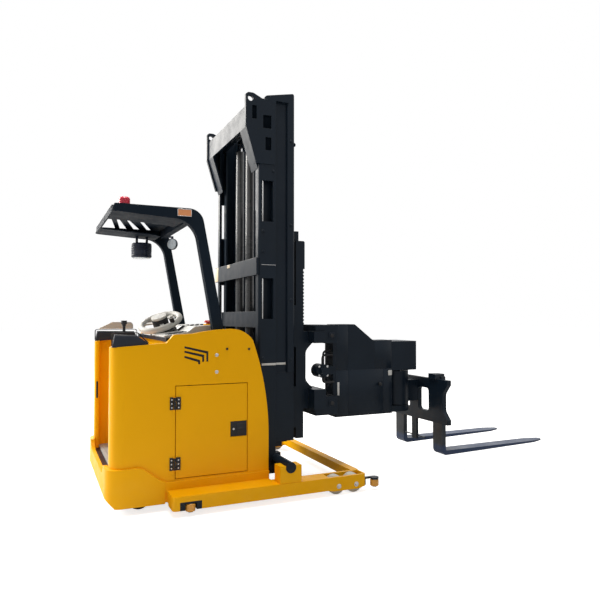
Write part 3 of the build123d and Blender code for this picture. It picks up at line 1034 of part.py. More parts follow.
# Casters under the step: a yoke that swivels below the step plate and its wheel
swivel_st = CASTER_ST + CASTER_TRAIL
crown_z = 2 * CASTER_RADIUS + SIDE_GAP
for side_name, side in (("right", -1), ("left", 1)):
    y = side * CASTER_Y
    in_half = CASTER_WIDTH / 2 + SIDE_GAP
    out_half = in_half + CASTER_PLATE
    yoke = cyl_z(swivel_st, y, CASTER_HEAD_RADIUS, crown_z, step_bottom - SLIDE_FIT)
    for plate_side in (-1, 1):
        edge = sorted((y + plate_side * in_half, y + plate_side * out_half))
        yoke += poly_y(
            [(CASTER_ST - 2 * CASTER_AXLE_RADIUS, CASTER_RADIUS - 2 * CASTER_AXLE_RADIUS),
             (CASTER_ST + 2 * CASTER_AXLE_RADIUS, CASTER_RADIUS - 2 * CASTER_AXLE_RADIUS),
             (swivel_st + CASTER_HEAD_RADIUS, crown_z + CASTER_PLATE),
             (swivel_st - CASTER_HEAD_RADIUS, crown_z + CASTER_PLATE)],
            edge[0], edge[1])
    yoke += cyl_y(CASTER_ST, CASTER_RADIUS, CASTER_AXLE_RADIUS, y - out_half, y + out_half)
    yoke += box(swivel_st - CASTER_HEAD_RADIUS, swivel_st + CASTER_HEAD_RADIUS, y - out_half, y + out_half,
                crown_z, crown_z + 2 * CASTER_PLATE)
    save("caster_yoke_" + side_name, yoke)
    wheel = ring_y(CASTER_ST, CASTER_RADIUS, CASTER_RADIUS, CASTER_AXLE_RADIUS + PIN_FIT,
                   y - CASTER_WIDTH / 2, y + CASTER_WIDTH / 2)
    save("caster_wheel_" + side_name, wheel)
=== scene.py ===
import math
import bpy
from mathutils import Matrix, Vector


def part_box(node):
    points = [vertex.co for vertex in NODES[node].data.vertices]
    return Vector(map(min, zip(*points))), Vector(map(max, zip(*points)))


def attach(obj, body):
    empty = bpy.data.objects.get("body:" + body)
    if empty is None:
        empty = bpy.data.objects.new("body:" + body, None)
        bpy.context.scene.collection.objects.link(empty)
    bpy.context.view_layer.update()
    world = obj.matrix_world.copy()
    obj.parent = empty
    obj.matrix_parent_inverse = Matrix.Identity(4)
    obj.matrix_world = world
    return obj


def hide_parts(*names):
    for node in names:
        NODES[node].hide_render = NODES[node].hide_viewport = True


bl_info = {
    "name": "Three-way swing reach truck",
    "version": (1, 0, 0),
    "blender": (4, 5, 0),
    "location": "3D View > Sidebar > Truck",
    "description": "Finishes, fittings and studio for the packed reach truck",
    "category": "Object",
}

import bmesh
import bpy
from bpy.props import FloatProperty, FloatVectorProperty, PointerProperty
from mathutils import Matrix, Vector

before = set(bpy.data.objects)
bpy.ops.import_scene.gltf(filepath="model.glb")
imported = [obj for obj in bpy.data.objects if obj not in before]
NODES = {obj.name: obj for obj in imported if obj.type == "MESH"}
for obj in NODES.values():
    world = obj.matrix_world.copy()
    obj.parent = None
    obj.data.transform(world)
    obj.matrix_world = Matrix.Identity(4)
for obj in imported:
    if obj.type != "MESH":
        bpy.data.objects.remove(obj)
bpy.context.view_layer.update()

# Places are given in millimetres: station ahead of the skirt's rear face, distance to the left, height
STATION_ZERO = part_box("rear_skirt")[0].x
MM = 0.001
BODY_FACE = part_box("door_left")[1].y / MM - 16.0
SIDES = (("right", -1), ("left", 1))
UP = Vector((0, 0, 1))


def spot(st, y, z):
    return Vector((STATION_ZERO + st * MM, y * MM, z * MM))


def tone(name, text, value):
    return FloatVectorProperty(name=name, description=text, subtype="COLOR", size=3, min=0, max=1,
                               default=value)


def length(name, text, value):
    return FloatProperty(name=name, description=text, unit="LENGTH", default=value)


class TruckPaint(bpy.types.PropertyGroup):
    """Colours of the truck's finishes"""

    body: tone("Body paint", "Yellow of the body and legs", (0.95, 0.465, 0.0))
    mast: tone("Mast paint", "Black of the mast, guard and head", (0.006, 0.012, 0.021))
    # The blades' dark blue is a painted reflection of the sky on black paint
    blade_sky_reflection: tone("Fork blades", "Dark blue of the fork blades", (0.008, 0.028, 0.085))
    trim: tone("Trim", "Black moulded trim and hinges", (0.014, 0.014, 0.016))
    panel: tone("Console", "Pale grey of the console", (0.56, 0.56, 0.54))
    mat: tone("Step mat", "Grey rubber of the step", (0.36, 0.37, 0.37))
    beacon: tone("Beacon", "Red of the beacon's lens", (0.58, 0.006, 0.03))
    reflector: tone("Reflector", "Orange of the side reflectors", (0.50, 0.050, 0.010))
    load_wheel: tone("Load wheels", "Pale tread of the load wheels", (0.42, 0.40, 0.35))
    guide_roller: tone("Guide rollers", "Amber tread of the guide rollers", (0.55, 0.16, 0.015))


class TruckFittings(bpy.types.PropertyGroup):
    """Sizes of the truck's small fittings"""

    screw: length("Hinge screw", "Radius of a hinge screw", 0.005)
    stud_pitch: length("Stud pitch", "Distance between the mat's studs", 0.030)
    stud_rise: length("Stud height", "Height of the mat's studs", 0.0025)


class TruckStudio(bpy.types.PropertyGroup):
    """Camera and light of the studio"""

    camera: FloatVectorProperty(name="Camera", description="Where the camera stands", subtype="TRANSLATION",
                                unit="LENGTH", size=3, default=(-2.4135, -4.8553, 1.3600))
    turn: FloatVectorProperty(name="Camera turn", description="Turn of the camera", subtype="EULER",
                              unit="ROTATION", size=3,
                              default=(math.radians(91.724), 0.0, math.radians(-24.31)))
    lens: FloatProperty(name="Lens", description="Focal length in millimetres", default=35.0)
    ambient: FloatProperty(name="Ambient", description="Level of the room's light", default=0.31)
    key: FloatProperty(name="Key light", description="Power of the large light behind and to the left",
                       unit="POWER", default=900.0)


GROUPS = (("truck_paint", TruckPaint), ("truck_fittings", TruckFittings), ("truck_studio", TruckStudio))


def paint():
    return bpy.context.scene.truck_paint


def fittings():
    return bpy.context.scene.truck_fittings


# Kinds of sockets, and helpers that add nodes
COLOUR = "NodeSocketColor"
FLOAT = "NodeSocketFloat"


def node(tree, kind, x, y, **values):
    made = tree.nodes.new(kind)
    made.location = (x, y)
    for key, value in values.items():
        setattr(made, key, value)
    return made


def link(tree, source, target):
    tree.links.new(source, target)


def open_group(name, inputs, outputs):
    """A new shader node group; inputs are (name, kind, default) and outputs (name, kind)"""
    tree = bpy.data.node_groups.new(name, "ShaderNodeTree")
    for label, kind, value in inputs:
        socket = tree.interface.new_socket(name=label, in_out="INPUT", socket_type=kind)
        socket.default_value = value
    for label, kind in outputs:
        tree.interface.new_socket(name=label, in_out="OUTPUT", socket_type=kind)
    return tree, node(tree, "NodeGroupInput", -1100, 0), node(tree, "NodeGroupOutput", 700, 0)


def feed(tree, value, socket):
    """Links an output to a socket, or sets the socket to a plain value"""
    if hasattr(value, "is_output"):
        link(tree, value, socket)
    else:
        socket.default_value = value


def math_node(tree, operation, a, b, x, y, clamp=False):
    made = node(tree, "ShaderNodeMath", x, y, operation=operation, use_clamp=clamp)
    feed(tree, a, made.inputs[0])
    feed(tree, b, made.inputs[1])
    return made.outputs[0]


def mix_colour(tree, factor, a, b, x, y, blend="MIX"):
    made = node(tree, "ShaderNodeMix", x, y, data_type="RGBA", blend_type=blend)
    for index, value in ((0, factor), (6, a), (7, b)):
        feed(tree, value, made.inputs[index])
    return made.outputs[2]


def noise(tree, vector, scale, detail, x, y):
    made = node(tree, "ShaderNodeTexNoise", x, y)
    for key, value in (("Vector", vector), ("Scale", scale), ("Detail", detail)):
        feed(tree, value, made.inputs[key])
    return made.outputs["Fac"]


def ramp(tree, value, low, high, x, y):
    made = node(tree, "ShaderNodeMapRange", x, y)
    link(tree, value, made.inputs["Value"])
    made.inputs["From Min"].default_value = low
    made.inputs["From Max"].default_value = high
    return made.outputs["Result"]


def height_of(tree, vector, x, y):
    made = node(tree, "ShaderNodeSeparateXYZ", x, y)
    link(tree, vector, made.inputs[0])
    return made.outputs["Z"]


def worn_surface():
    """Group: tint changes, dust on the lower parts, rubbed edges and a fine grain"""
    found = bpy.data.node_groups.get("worn_surface")
    if found:
        return found
    tree, given, out = open_group(
        "worn_surface",
        [("Color", COLOUR, (0.5, 0.5, 0.5, 1)), ("Rubbed", COLOUR, (0.3, 0.3, 0.3, 1)),
         ("Dust", COLOUR, (0.42, 0.39, 0.34, 1)), ("Roughness", FLOAT, 0.4), ("Tint", FLOAT, 0.1),
         ("Wear", FLOAT, 0.4), ("Grime", FLOAT, 0.2), ("Grain", FLOAT, 900.0), ("Edge", FLOAT, 0.003)],
        [("Color", COLOUR), ("Roughness", FLOAT), ("Height", FLOAT), ("Normal", "NodeSocketVector")])
    place = node(tree, "ShaderNodeTexCoord", -1100, -300).outputs["Object"]
    soft = node(tree, "ShaderNodeBevel", -1100, -620, samples=4)
    link(tree, given.outputs["Edge"], soft.inputs["Radius"])
    face = node(tree, "ShaderNodeNewGeometry", -1100, -820)
    facing = node(tree, "ShaderNodeVectorMath", -900, -700, operation="DOT_PRODUCT")
    link(tree, soft.outputs["Normal"], facing.inputs[0])
    link(tree, face.outputs["Normal"], facing.inputs[1])
    edge = math_node(tree, "SUBTRACT", 1.0, facing.outputs["Value"], -740, -700)
    edge = ramp(tree, edge, 0.03, 0.22, -580, -700)
    patches = ramp(tree, noise(tree, place, 14.0, 4.0, -900, -420), 0.48, 0.66, -580, -420)
    chips = ramp(tree, noise(tree, place, 95.0, 3.0, -900, -250), 0.55, 0.7, -580, -250)
    spots = math_node(tree, "MAXIMUM", patches, chips, -420, -350)
    wear = math_node(tree, "MULTIPLY", edge, spots, -260, -500)
    wear = math_node(tree, "MULTIPLY", wear, given.outputs["Wear"], -100, -500, clamp=True)
    broad = noise(tree, place, 2.3, 5.0, -900, 250)
    shade = math_node(tree, "MULTIPLY", math_node(tree, "SUBTRACT", broad, 0.5, -740, 250),
                      given.outputs["Tint"], -580, 250)
    shade = math_node(tree, "ADD", shade, 1.0, -420, 250)
    tinted = mix_colour(tree, 1.0, given.outputs["Color"], shade, -260, 250, "MULTIPLY")
    low = ramp(tree, height_of(tree, place, -900, 60), 0.55, 0.0, -740, 60)
    upward = ramp(tree, height_of(tree, face.outputs["Normal"], -900, -80), 0.55, 1.0, -740, -80)
    dusty = math_node(tree, "MAXIMUM", low, math_node(tree, "MULTIPLY", upward, 0.5, -580, -80), -420, 40)
    cloud = ramp(tree, noise(tree, place, 9.0, 6.0, -900, 440), 0.35, 0.75, -580, 440)
    dust = math_node(tree, "MULTIPLY", math_node(tree, "MULTIPLY", dusty, cloud, -260, 60),
                     given.outputs["Grime"], -100, 60, clamp=True)
    coated = mix_colour(tree, dust, tinted, given.outputs["Dust"], 80, 200)
    link(tree, mix_colour(tree, wear, coated, given.outputs["Rubbed"], 280, 200), out.inputs["Color"])
    fine = noise(tree, place, given.outputs["Grain"], 2.0, -900, 620)
    rough = math_node(tree, "MULTIPLY", math_node(tree, "SUBTRACT", cloud, 0.5, -260, 440), 0.16, -100, 440)
    rough = math_node(tree, "ADD", rough, given.outputs["Roughness"], 80, 440)
    dull = math_node(tree, "MULTIPLY", dust, 0.3, 80, 600)
    rough = math_node(tree, "ADD", rough, dull, 280, 440, clamp=True)
    link(tree, rough, out.inputs["Roughness"])
    link(tree, fine, out.inputs["Height"])
    link(tree, soft.outputs["Normal"], out.inputs["Normal"])
    return tree


PLAIN_EDGE = (0.25, 0.25, 0.25)
# Columns: colour or its paint setting, roughness, colour of rubbed edges, changes of tint, wear, grime, scale
# and depth of the grain, and as far as they differ from the plain ones: specular, edge width, coat, metal
FINISHES = {
    "yellow_enamel": ("body", 0.42, (0.50, 0.22, 0.01), 0.10, 0.25, 0.04, 420.0, 0.05, 0.12),
    "black_enamel": ("mast", 0.38, (0.09, 0.095, 0.10), 0.5, 0.5, 0.05, 600.0, 0.06, 0.17),
    "matt_black": ("mast", 0.66, (0.08, 0.085, 0.09), 0.5, 0.4, 0.04, 1100.0, 0.12, 0.10),
    "barrel_grey": ((0.060, 0.062, 0.064), 0.30, (0.3, 0.3, 0.29), 0.2, 0.3, 0.1, 700.0, 0.05),
    # Dark lamp finish whose blue tint is a painted sheen of the lamp's lens
    "lamp_shell_blue_sheen": ((0.008, 0.014, 0.034), 0.32, (0.06, 0.07, 0.10), 0.4, 0.3, 0.04, 800.0, 0.06, 0.35),
    # Cream finish for the painted highlight on the mast's cross plate
    "cream_highlight_paint": ((0.78, 0.66, 0.46), 0.5, (0.5, 0.45, 0.35), 0.2, 0.3, 0.1, 700.0, 0.1, 0.3, 0.001),
    # Near-black matt finish for the painted shade on the lifting ears
    "painted_shade_black": ((0.002, 0.004, 0.007), 0.8, (0.02, 0.02, 0.02), 0.4, 0.2, 0.02, 900.0, 0.1, 0.03),
    "pad_vinyl": ((0.010, 0.014, 0.024), 0.5, (0.06, 0.065, 0.07), 0.4, 0.3, 0.10, 950.0, 0.35, 0.3, 0.006),
    "moulded_trim": ("trim", 0.55, (0.07, 0.07, 0.07), 0.3, 0.35, 0.08, 1500.0, 0.18, 0.3),
    "console_plastic": ("panel", 0.5, (0.7, 0.7, 0.68), 0.08, 0.25, 0.15, 1300.0, 0.12, 0.5, 0.005),
    "zinc_fasteners": ((0.55, 0.55, 0.55), 0.3, (0.7, 0.7, 0.7), 0.25, 0.5, 0.1, 700.0, 0.05, 0.5, 0.001,
                       0, 1),
    "ground_rod": ((0.66, 0.66, 0.67), 0.16, (0.8, 0.8, 0.8), 0.1, 0.1, 0.05, 1800.0, 0.03, 0.5, 0.003, 0, 1),
    "grey_rubber": ("mat", 0.75, (0.5, 0.5, 0.5), 0.35, 0.4, 0.5, 700.0, 0.4, 0.3),
    "black_tread": ((0.025, 0.025, 0.026), 0.7, (0.09, 0.09, 0.09), 0.4, 0.6, 0.35, 500.0, 0.3, 0.3),
    "pale_tread": ("load_wheel", 0.5, (0.25, 0.24, 0.22), 0.3, 0.5, 0.4, 500.0, 0.15),
    "amber_tread": ("guide_roller", 0.35, (0.35, 0.10, 0.02), 0.3, 0.5, 0.3, 500.0, 0.1),
    "battery_steel": ((0.05, 0.055, 0.06), 0.6, PLAIN_EDGE, 0.3, 0.4, 0.2, 300.0, 0.2),
    "grip_plastic": ((0.58, 0.57, 0.53), 0.45, (0.3, 0.3, 0.3), 0.2, 0.3, 0.1, 1400.0, 0.2),
    "red_lens": ("beacon", 0.14, (0.4, 0.02, 0.03), 0.1, 0.1, 0.0, 500.0, 0.02, 0.25, 0.002, 0.1),
    "orange_lens": ("reflector", 0.2, (0.4, 0.08, 0.02), 0.1, 0.1, 0.02, 260.0, 0.5, 0.2, 0.001, 0.05),
    "dark_glass": ((0.006, 0.007, 0.009), 0.08, PLAIN_EDGE, 0.3, 0.0, 0.05, 300.0, 0.01, 0.5, 0.001, 0.5),
    "pale_glass": ((0.55, 0.62, 0.68), 0.06, PLAIN_EDGE, 0.1, 0.0, 0.08, 300.0, 0.01, 0.5, 0.001, 0.6),
    "red_plastic": ((0.55, 0.01, 0.012), 0.3, (0.3, 0.03, 0.03), 0.1, 0.2, 0.05, 900.0, 0.05, 0.5, 0.001),
    "pale_plate": ((0.62, 0.62, 0.60), 0.5, PLAIN_EDGE, 0.15, 0.3, 0.1, 900.0, 0.08, 0.5, 0.001),
    # Blue on the blades is a painted sky reflection, black on the shanks is the paint
    "fork_enamel_and_sky_reflection": ("blade_sky_reflection", 0.36, (0.24, 0.26, 0.29), 0.5, 0.8, 0.1, 400.0, 0.08, 0.35),
}
# Slot and finish of most fittings
TRIM = ("black_trim", "moulded_trim")
STEEL = ("rod_steel", "zinc_fasteners")
BLACK = ("black_paint", "black_enamel")
PALE = ("pale_panel", "pale_plate")
GLASS = (None, "pale_glass")
GRAIN_DEPTH = 0.001
COAT_ROUGHNESS = 0.08
# Heights between which the forks change from blades painted dark blue, a painted reflection of the sky on
# black paint, to black shanks
SHANK_LOW = 0.24
SHANK_HIGH = 0.27


def new_finish(name, colour, roughness, rubbed, tint, wear, grime, grain, bump, specular=0.5, edge=0.003,
               coat=0.0, metallic=0.0):
    """A material made of the worn surface group and its own shader"""
    if isinstance(colour, str):
        colour = getattr(paint(), colour)
    made = bpy.data.materials.new(name)
    made.use_nodes = True
    tree = made.node_tree
    shader = tree.nodes["Principled BSDF"]
    surface = node(tree, "ShaderNodeGroup", -600, 0, node_tree=worn_surface())
    for key, value in (("Color", (*colour, 1)), ("Rubbed", (*rubbed, 1)), ("Roughness", roughness),
                       ("Tint", tint), ("Wear", wear), ("Grime", grime), ("Grain", grain), ("Edge", edge)):
        surface.inputs[key].default_value = value
    relief = node(tree, "ShaderNodeBump", -300, -300)
    relief.inputs["Strength"].default_value = bump
    relief.inputs["Distance"].default_value = GRAIN_DEPTH
    link(tree, surface.outputs["Height"], relief.inputs["Height"])
    link(tree, surface.outputs["Normal"], relief.inputs["Normal"])
    link(tree, surface.outputs["Color"], shader.inputs["Base Color"])
    link(tree, surface.outputs["Roughness"], shader.inputs["Roughness"])
    link(tree, relief.outputs["Normal"], shader.inputs["Normal"])
    for key, value in (("Specular IOR Level", specular), ("Metallic", metallic), ("Coat Weight", coat),
                       ("Coat Roughness", COAT_ROUGHNESS)):
        shader.inputs[key].default_value = value
    return made


def finish(name):
    return bpy.data.materials.get(name) or new_finish(name, *FINISHES[name])


def darken_shanks():
    """Lets the forks' dark blue, a painted reflection of the sky on the blades, change to black above the
    heel
    """
    tree = finish("fork_enamel_and_sky_reflection").node_tree
    group = next(n for n in tree.nodes if n.type == "GROUP")
    if group.inputs["Color"].is_linked:
        return
    place = node(tree, "ShaderNodeTexCoord", -1100, 300).outputs["Object"]
    above = ramp(tree, height_of(tree, place, -950, 300), SHANK_LOW, SHANK_HIGH, -800, 300)
    colour = mix_colour(tree, above, (*paint().blade_sky_reflection, 1), (*paint().mast, 1), -780, 150)
    link(tree, colour, group.inputs["Color"])


# Mesh helpers, each adds to an open bmesh


def turned(at, axis):
    """Matrix that stands a shape made along +Z on a place, along an axis"""
    return Matrix.Translation(at) @ Vector(axis).to_track_quat("Z", "Y").to_matrix().to_4x4()


def soften(bm, edges, offset, segments=2):
    bmesh.ops.bevel(bm, geom=edges, offset=offset, offset_type="OFFSET", affect="EDGES", segments=segments,
                    profile=0.5, material=-1)


def slab(bm, lo, hi, offset=0.0, segments=2, turn=None):
    """A block between two corners with rounded edges"""
    verts = bmesh.ops.create_cube(bm, size=1.0)["verts"]
    size = hi - lo
    bmesh.ops.scale(bm, vec=[abs(part) for part in size], verts=verts)
    if turn is not None:
        bmesh.ops.rotate(bm, cent=(0, 0, 0), matrix=turn, verts=verts)
    bmesh.ops.translate(bm, vec=(lo + hi) / 2, verts=verts)
    if offset:
        soften(bm, list({e for v in verts for e in v.link_edges}), offset, segments)


def side_slab(bm, sign, face, row, offset, segments=2):
    """A block on a side; row holds rear, front, inner and outer depth from the face, bottom and top"""
    st0, st1, y0, y1, z0, z1 = row
    slab(bm, spot(st0, sign * (face + y0), z0), spot(st1, sign * (face + y1), z1), offset, segments)


def disc(bm, at, axis, radius, depth, top=None, segments=28, offset=0.0):
    """A round or many-sided plug that stands on a place, with its outer rim softened"""
    matrix = turned(at + Vector(axis) * depth / 2, axis)
    end = radius if top is None else top
    verts = bmesh.ops.create_cone(bm, cap_ends=True, cap_tris=False, segments=segments, radius1=radius,
                                  radius2=end, depth=depth, matrix=matrix)["verts"]
    crown = sorted(verts, key=lambda v: (v.co - at).dot(Vector(axis)))[len(verts) // 2:]
    if offset:
        ring = [e for v in crown for e in v.link_edges if e.other_vert(v) in crown]
        soften(bm, list(set(ring)), offset)
    return crown


def bolt(bm, at, axis, radius):
    """A washer and a hexagon head"""
    axis = Vector(axis)
    disc(bm, at, axis, radius * 1.35, radius * 0.18, segments=24, offset=radius * 0.06)
    disc(bm, at + axis * radius * 0.18, axis, radius, radius * 0.65, segments=6, offset=radius * 0.1)


def socket_screw(bm, at, axis, radius):
    """A round head with a sunk drive"""
    axis = Vector(axis)
    crown = disc(bm, at, axis, radius, radius * 0.5, segments=18)
    top = next(f for f in bm.faces if f.verts[0] in crown and len(f.verts) == 18
               and f.normal.dot(axis) > 0.5 and all(v in crown for v in f.verts))
    bmesh.ops.inset_region(bm, faces=[top], thickness=radius * 0.45)
    bmesh.ops.translate(bm, vec=-axis * radius * 0.3, verts=top.verts)


def lathe(bm, at, axis, profile, steps=40):
    """A turned shape; profile holds (radius, height) in metres from the axis upward"""
    verts = [bm.verts.new((radius, 0.0, height)) for radius, height in profile]
    edges = [bm.edges.new(pair) for pair in zip(verts, verts[1:])]
    before = set(bm.verts) - set(verts)
    bmesh.ops.spin(bm, geom=verts + edges, cent=(0, 0, 0), axis=UP, dvec=(0, 0, 0), angle=math.tau,
                   steps=steps, use_merge=True, use_duplicate=False)
    made = [v for v in bm.verts if v not in before]
    bmesh.ops.remove_doubles(bm, verts=made, dist=1e-6)
    made = [v for v in bm.verts if v not in before]
    faces = list({f for v in made for f in v.link_faces})
    bmesh.ops.recalc_face_normals(bm, faces=faces)
    bmesh.ops.transform(bm, matrix=turned(at, axis), verts=made)


def only(geometry, kind):
    return [part for part in geometry if isinstance(part, kind)]


def pipe(bm, points, radius, bend, sides=12, steps=6):
    """A bent pipe through corner points, with round bends, closed at both ends"""
    heading = (points[1] - points[0]).normalized()
    ring = bmesh.ops.create_circle(bm, cap_ends=False, segments=sides, radius=radius,
                                   matrix=turned(points[0], heading))["verts"]
    edges = list({e for v in ring for e in v.link_edges})
    first = list(edges)
    here = points[0]
    for corner, after in zip(points[1:], points[2:] + [None]):
        turn = 0.0
        stop = corner
        if after is not None:
            new_heading = (after - corner).normalized()
            turn = heading.angle(new_heading)
            stop = corner - heading * bend * math.tan(turn / 2)
        made = bmesh.ops.extrude_edge_only(bm, edges=edges)["geom"]
        bmesh.ops.translate(bm, vec=stop - here, verts=only(made, bmesh.types.BMVert))
        edges = [e for e in only(made, bmesh.types.BMEdge) if all(v in made for v in e.verts)]
        here = stop
        if after is not None:
            axis = heading.cross(new_heading).normalized()
            centre = here + axis.cross(heading).normalized() * bend
            ring = list({v for e in edges for v in e.verts})
            made = bmesh.ops.spin(bm, geom=edges + ring, cent=centre, axis=axis, dvec=(0, 0, 0), angle=turn,
                                  steps=steps, use_merge=False, use_duplicate=False)["geom_last"]
            edges = only(made, bmesh.types.BMEdge)
            heading = new_heading
            here = corner + heading * bend * math.tan(turn / 2)
    faces_before = set(bm.faces)
    bmesh.ops.edgeloop_fill(bm, edges=first)
    bmesh.ops.edgeloop_fill(bm, edges=edges)
    bmesh.ops.recalc_face_normals(bm, faces=list(faces_before | set(bm.faces)))


def outline_plate(bm, points, push):
    """A flat plate from an outline, pushed to its thickness"""
    face = bm.faces.new([bm.verts.new(point) for point in points])
    made = bmesh.ops.extrude_face_region(bm, geom=[face])["geom"]
    verts = only(made, bmesh.types.BMVert)
    bmesh.ops.translate(bm, vec=push, verts=verts)
    faces = list({f for v in verts for f in v.link_faces} | {face})
    bmesh.ops.recalc_face_normals(bm, faces=faces)


# Edges flatter than this angle are shaded smooth
SMOOTH = 40.0


def piece(name, bm, body, look, angle=SMOOTH):
    """Turns a bmesh into a named piece with a finish, which rides on a body; the slot given in the look is
    not used
    """
    slot, coat = look
    mesh = bpy.data.meshes.new(name)
    bm.to_mesh(mesh)
    bm.free()
    for polygon in mesh.polygons:
        polygon.use_smooth = True
    mesh.set_sharp_from_angle(angle=math.radians(angle))
    mesh.materials.append(finish(coat))
    made = bpy.data.objects.new(name, mesh)
    bpy.context.scene.collection.objects.link(made)
    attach(made, body)
    return made


def spun(name, body, look, at, axis, shape, steps=40, angle=SMOOTH):
    """A turned shape as a piece of its own"""
    bm = bmesh.new()
    lathe(bm, at, axis, shape, steps)
    return piece(name, bm, body, look, angle)


GUIDE_ROLLERS = tuple("guide_roller_%s_%s" % (end, side) for end in ("rear", "front") for side, sign in SIDES)
# Which finish each CAD node takes
NODE_FINISHES = {
    "yellow_enamel": ("leg_left", "leg_right", "front_crossbeam", "chassis_base", "rear_skirt",
                      "side_panel_left", "side_panel_right", "bulkheads", "door_left", "door_right",
                      "mast_pedestals"),
    "black_enamel": ("guide_brackets", "step_frame", "deck", "mast_outer_uprights", "lifting_ears",
                     "mast_outer_beams", "mast_mid_uprights", "mast_mid_beams", "mast_inner_uprights",
                     "mast_inner_beams", "free_lift_cylinder", "carriage_frame", "traverse_rails",
                     "traverse_slider", "traverse_motor", "swing_arm", "arm_cover", "swivel_drum",
                     "fork_carriage", "drive_unit", "caster_yoke_left", "caster_yoke_right"),
    "matt_black": ("guard_posts", "guard_roof"),
    "pad_vinyl": ("arm_pads",),
    "moulded_trim": ("hand_lever",),
    "lamp_shell_blue_sheen": ("guard_lamps",),
    "barrel_grey": ("lift_barrels",),
    "console_plastic": ("instrument_panel", "arm_fairing"),
    "grey_rubber": ("step_mat",),
    "battery_steel": ("battery",),
    "red_lens": ("beacon",),
    "orange_lens": ("guard_reflectors",),
    "ground_rod": ("lift_rods",),
    "fork_enamel_and_sky_reflection": ("forks",),
    "grip_plastic": ("steering_wheel",),
    "black_tread": ("drive_wheel", "caster_wheel_left", "caster_wheel_right"),
    "pale_tread": tuple("load_wheel_%s_%d" % (side, number) for side, sign in SIDES for number in (1, 2)),
    "amber_tread": GUIDE_ROLLERS,
}


class TRUCK_OT_finishes(bpy.types.Operator):
    """Gives each CAD node its procedural finish"""

    bl_idname = "truck.finishes"
    bl_label = "Finishes"

    def execute(self, context):
        done = set()
        for look, names in NODE_FINISHES.items():
            for name in names:
                mesh = NODES[name].data
                mesh.materials.clear()
                mesh.materials.append(finish(look))
                done.add(name)
        darken_shanks()
        bare = sorted(set(NODES) - done)
        if bare:
            raise RuntimeError("no finish for " + ", ".join(bare))
        return {"FINISHED"}


# Door hinges: the two leaves' stations, their heights and the knuckle
HINGE_ST = 466.0
HINGE_TALL = 88.0
HINGE_LOW = (275.0, 703.0)
LEAF_ST = {"chassis": (431.4, 455.6), "door": (476.4, 508.6)}
LEAF_OUT = 8.2
KNUCKLE = 8.7
SCREW_SHARES = (0.18, 0.5, 0.82)
# Latch: three blocks for side_slab, each with its rounding and the steps of that
LATCH = (((882, 1006, -6, 1, 478, 588), 0.003, 3), ((926, 994, 0.6, 6, 494, 572), 0.003, 3),
         ((936, 984, 5, 10, 526, 540), 0.002, 2))
LOCK_ST = 904
LOCK_Z = 533
# Turned shapes are given as radius and height
LOCK_SHAPE = ((0, 0), (0.009, 0), (0.009, 0.003), (0.007, 0.006), (0.003, 0.006), (0.003, 0.004), (0, 0.004))


class TRUCK_OT_door_fittings(bpy.types.Operator):
    """Black hinges with bright screws, the recessed latch and its lock on both doors"""

    bl_idname = "truck.door_fittings"
    bl_label = "Door fittings"

    def execute(self, context):
        for side, sign in SIDES:
            out = Vector((0, sign, 0))
            door = "door_" + side
            for part, body in (("chassis", "chassis"), ("door", door)):
                leaves = bmesh.new()
                screws = bmesh.new()
                st0, st1 = LEAF_ST[part]
                for z in HINGE_LOW:
                    row = (st0, st1, -0.2, LEAF_OUT, z - 0.6, z + HINGE_TALL + 0.6)
                    side_slab(leaves, sign, BODY_FACE, row, 0.0012)
                    third = HINGE_TALL / 3
                    knuckles = (third,) if part == "door" else (0.0, 2 * third)
                    for start in knuckles:
                        foot = spot(HINGE_ST, sign * (BODY_FACE + 8.0), z + start + 0.4)
                        disc(leaves, foot, UP, KNUCKLE * MM, (third - 0.8) * MM, segments=20)
                    for share in SCREW_SHARES:
                        at = spot((st0 + st1) / 2, sign * (BODY_FACE + LEAF_OUT), z + HINGE_TALL * share)
                        socket_screw(screws, at, out, fittings().screw)
                piece("hinge_leaves_%s_%s" % (side, part), leaves, body, TRIM)
                piece("hinge_screws_%s_%s" % (side, part), screws, body, STEEL)
            latch = bmesh.new()
            for row, edge, steps in LATCH:
                side_slab(latch, sign, BODY_FACE, row, edge, steps)
            piece("latch_plate_" + side, latch, door, TRIM)
            at = spot(LOCK_ST, sign * (BODY_FACE + 0.8), LOCK_Z)
            spun("latch_lock_" + side, door, STEEL, at, out, LOCK_SHAPE)
        return {"FINISHED"}


# Vent slots, columns: height at the rear end, station of the bend, height of the bend, length of the drop
VENTS = ((1146.0, 703.0, 1105.0, 60.0), (1114.0, 672.0, 1080.0, 35.0), (1077.0, 642.0, 1044.0, 16.0))
VENT_REAR = 534.0
VENT_HALF = 7.1
VENT_FLOOR = 14.0
VENT_LINER = 0.010
# Bolts and screws on the body sides, columns: station, height
BRIGHT_BOLTS = ((774.0, 1084.0), (774.0, 960.0))
DARK_SCREWS = ((852.0, 1127.0), (1024.0, 1123.0))
SIDE_BOLT = 0.010
SIDE_SCREW = 0.009
AXLE_BOLT = 0.014
# Corners of the handle on the far rear edge
HANDLE = ((41, 514, 662), (57, 520.4, 804))


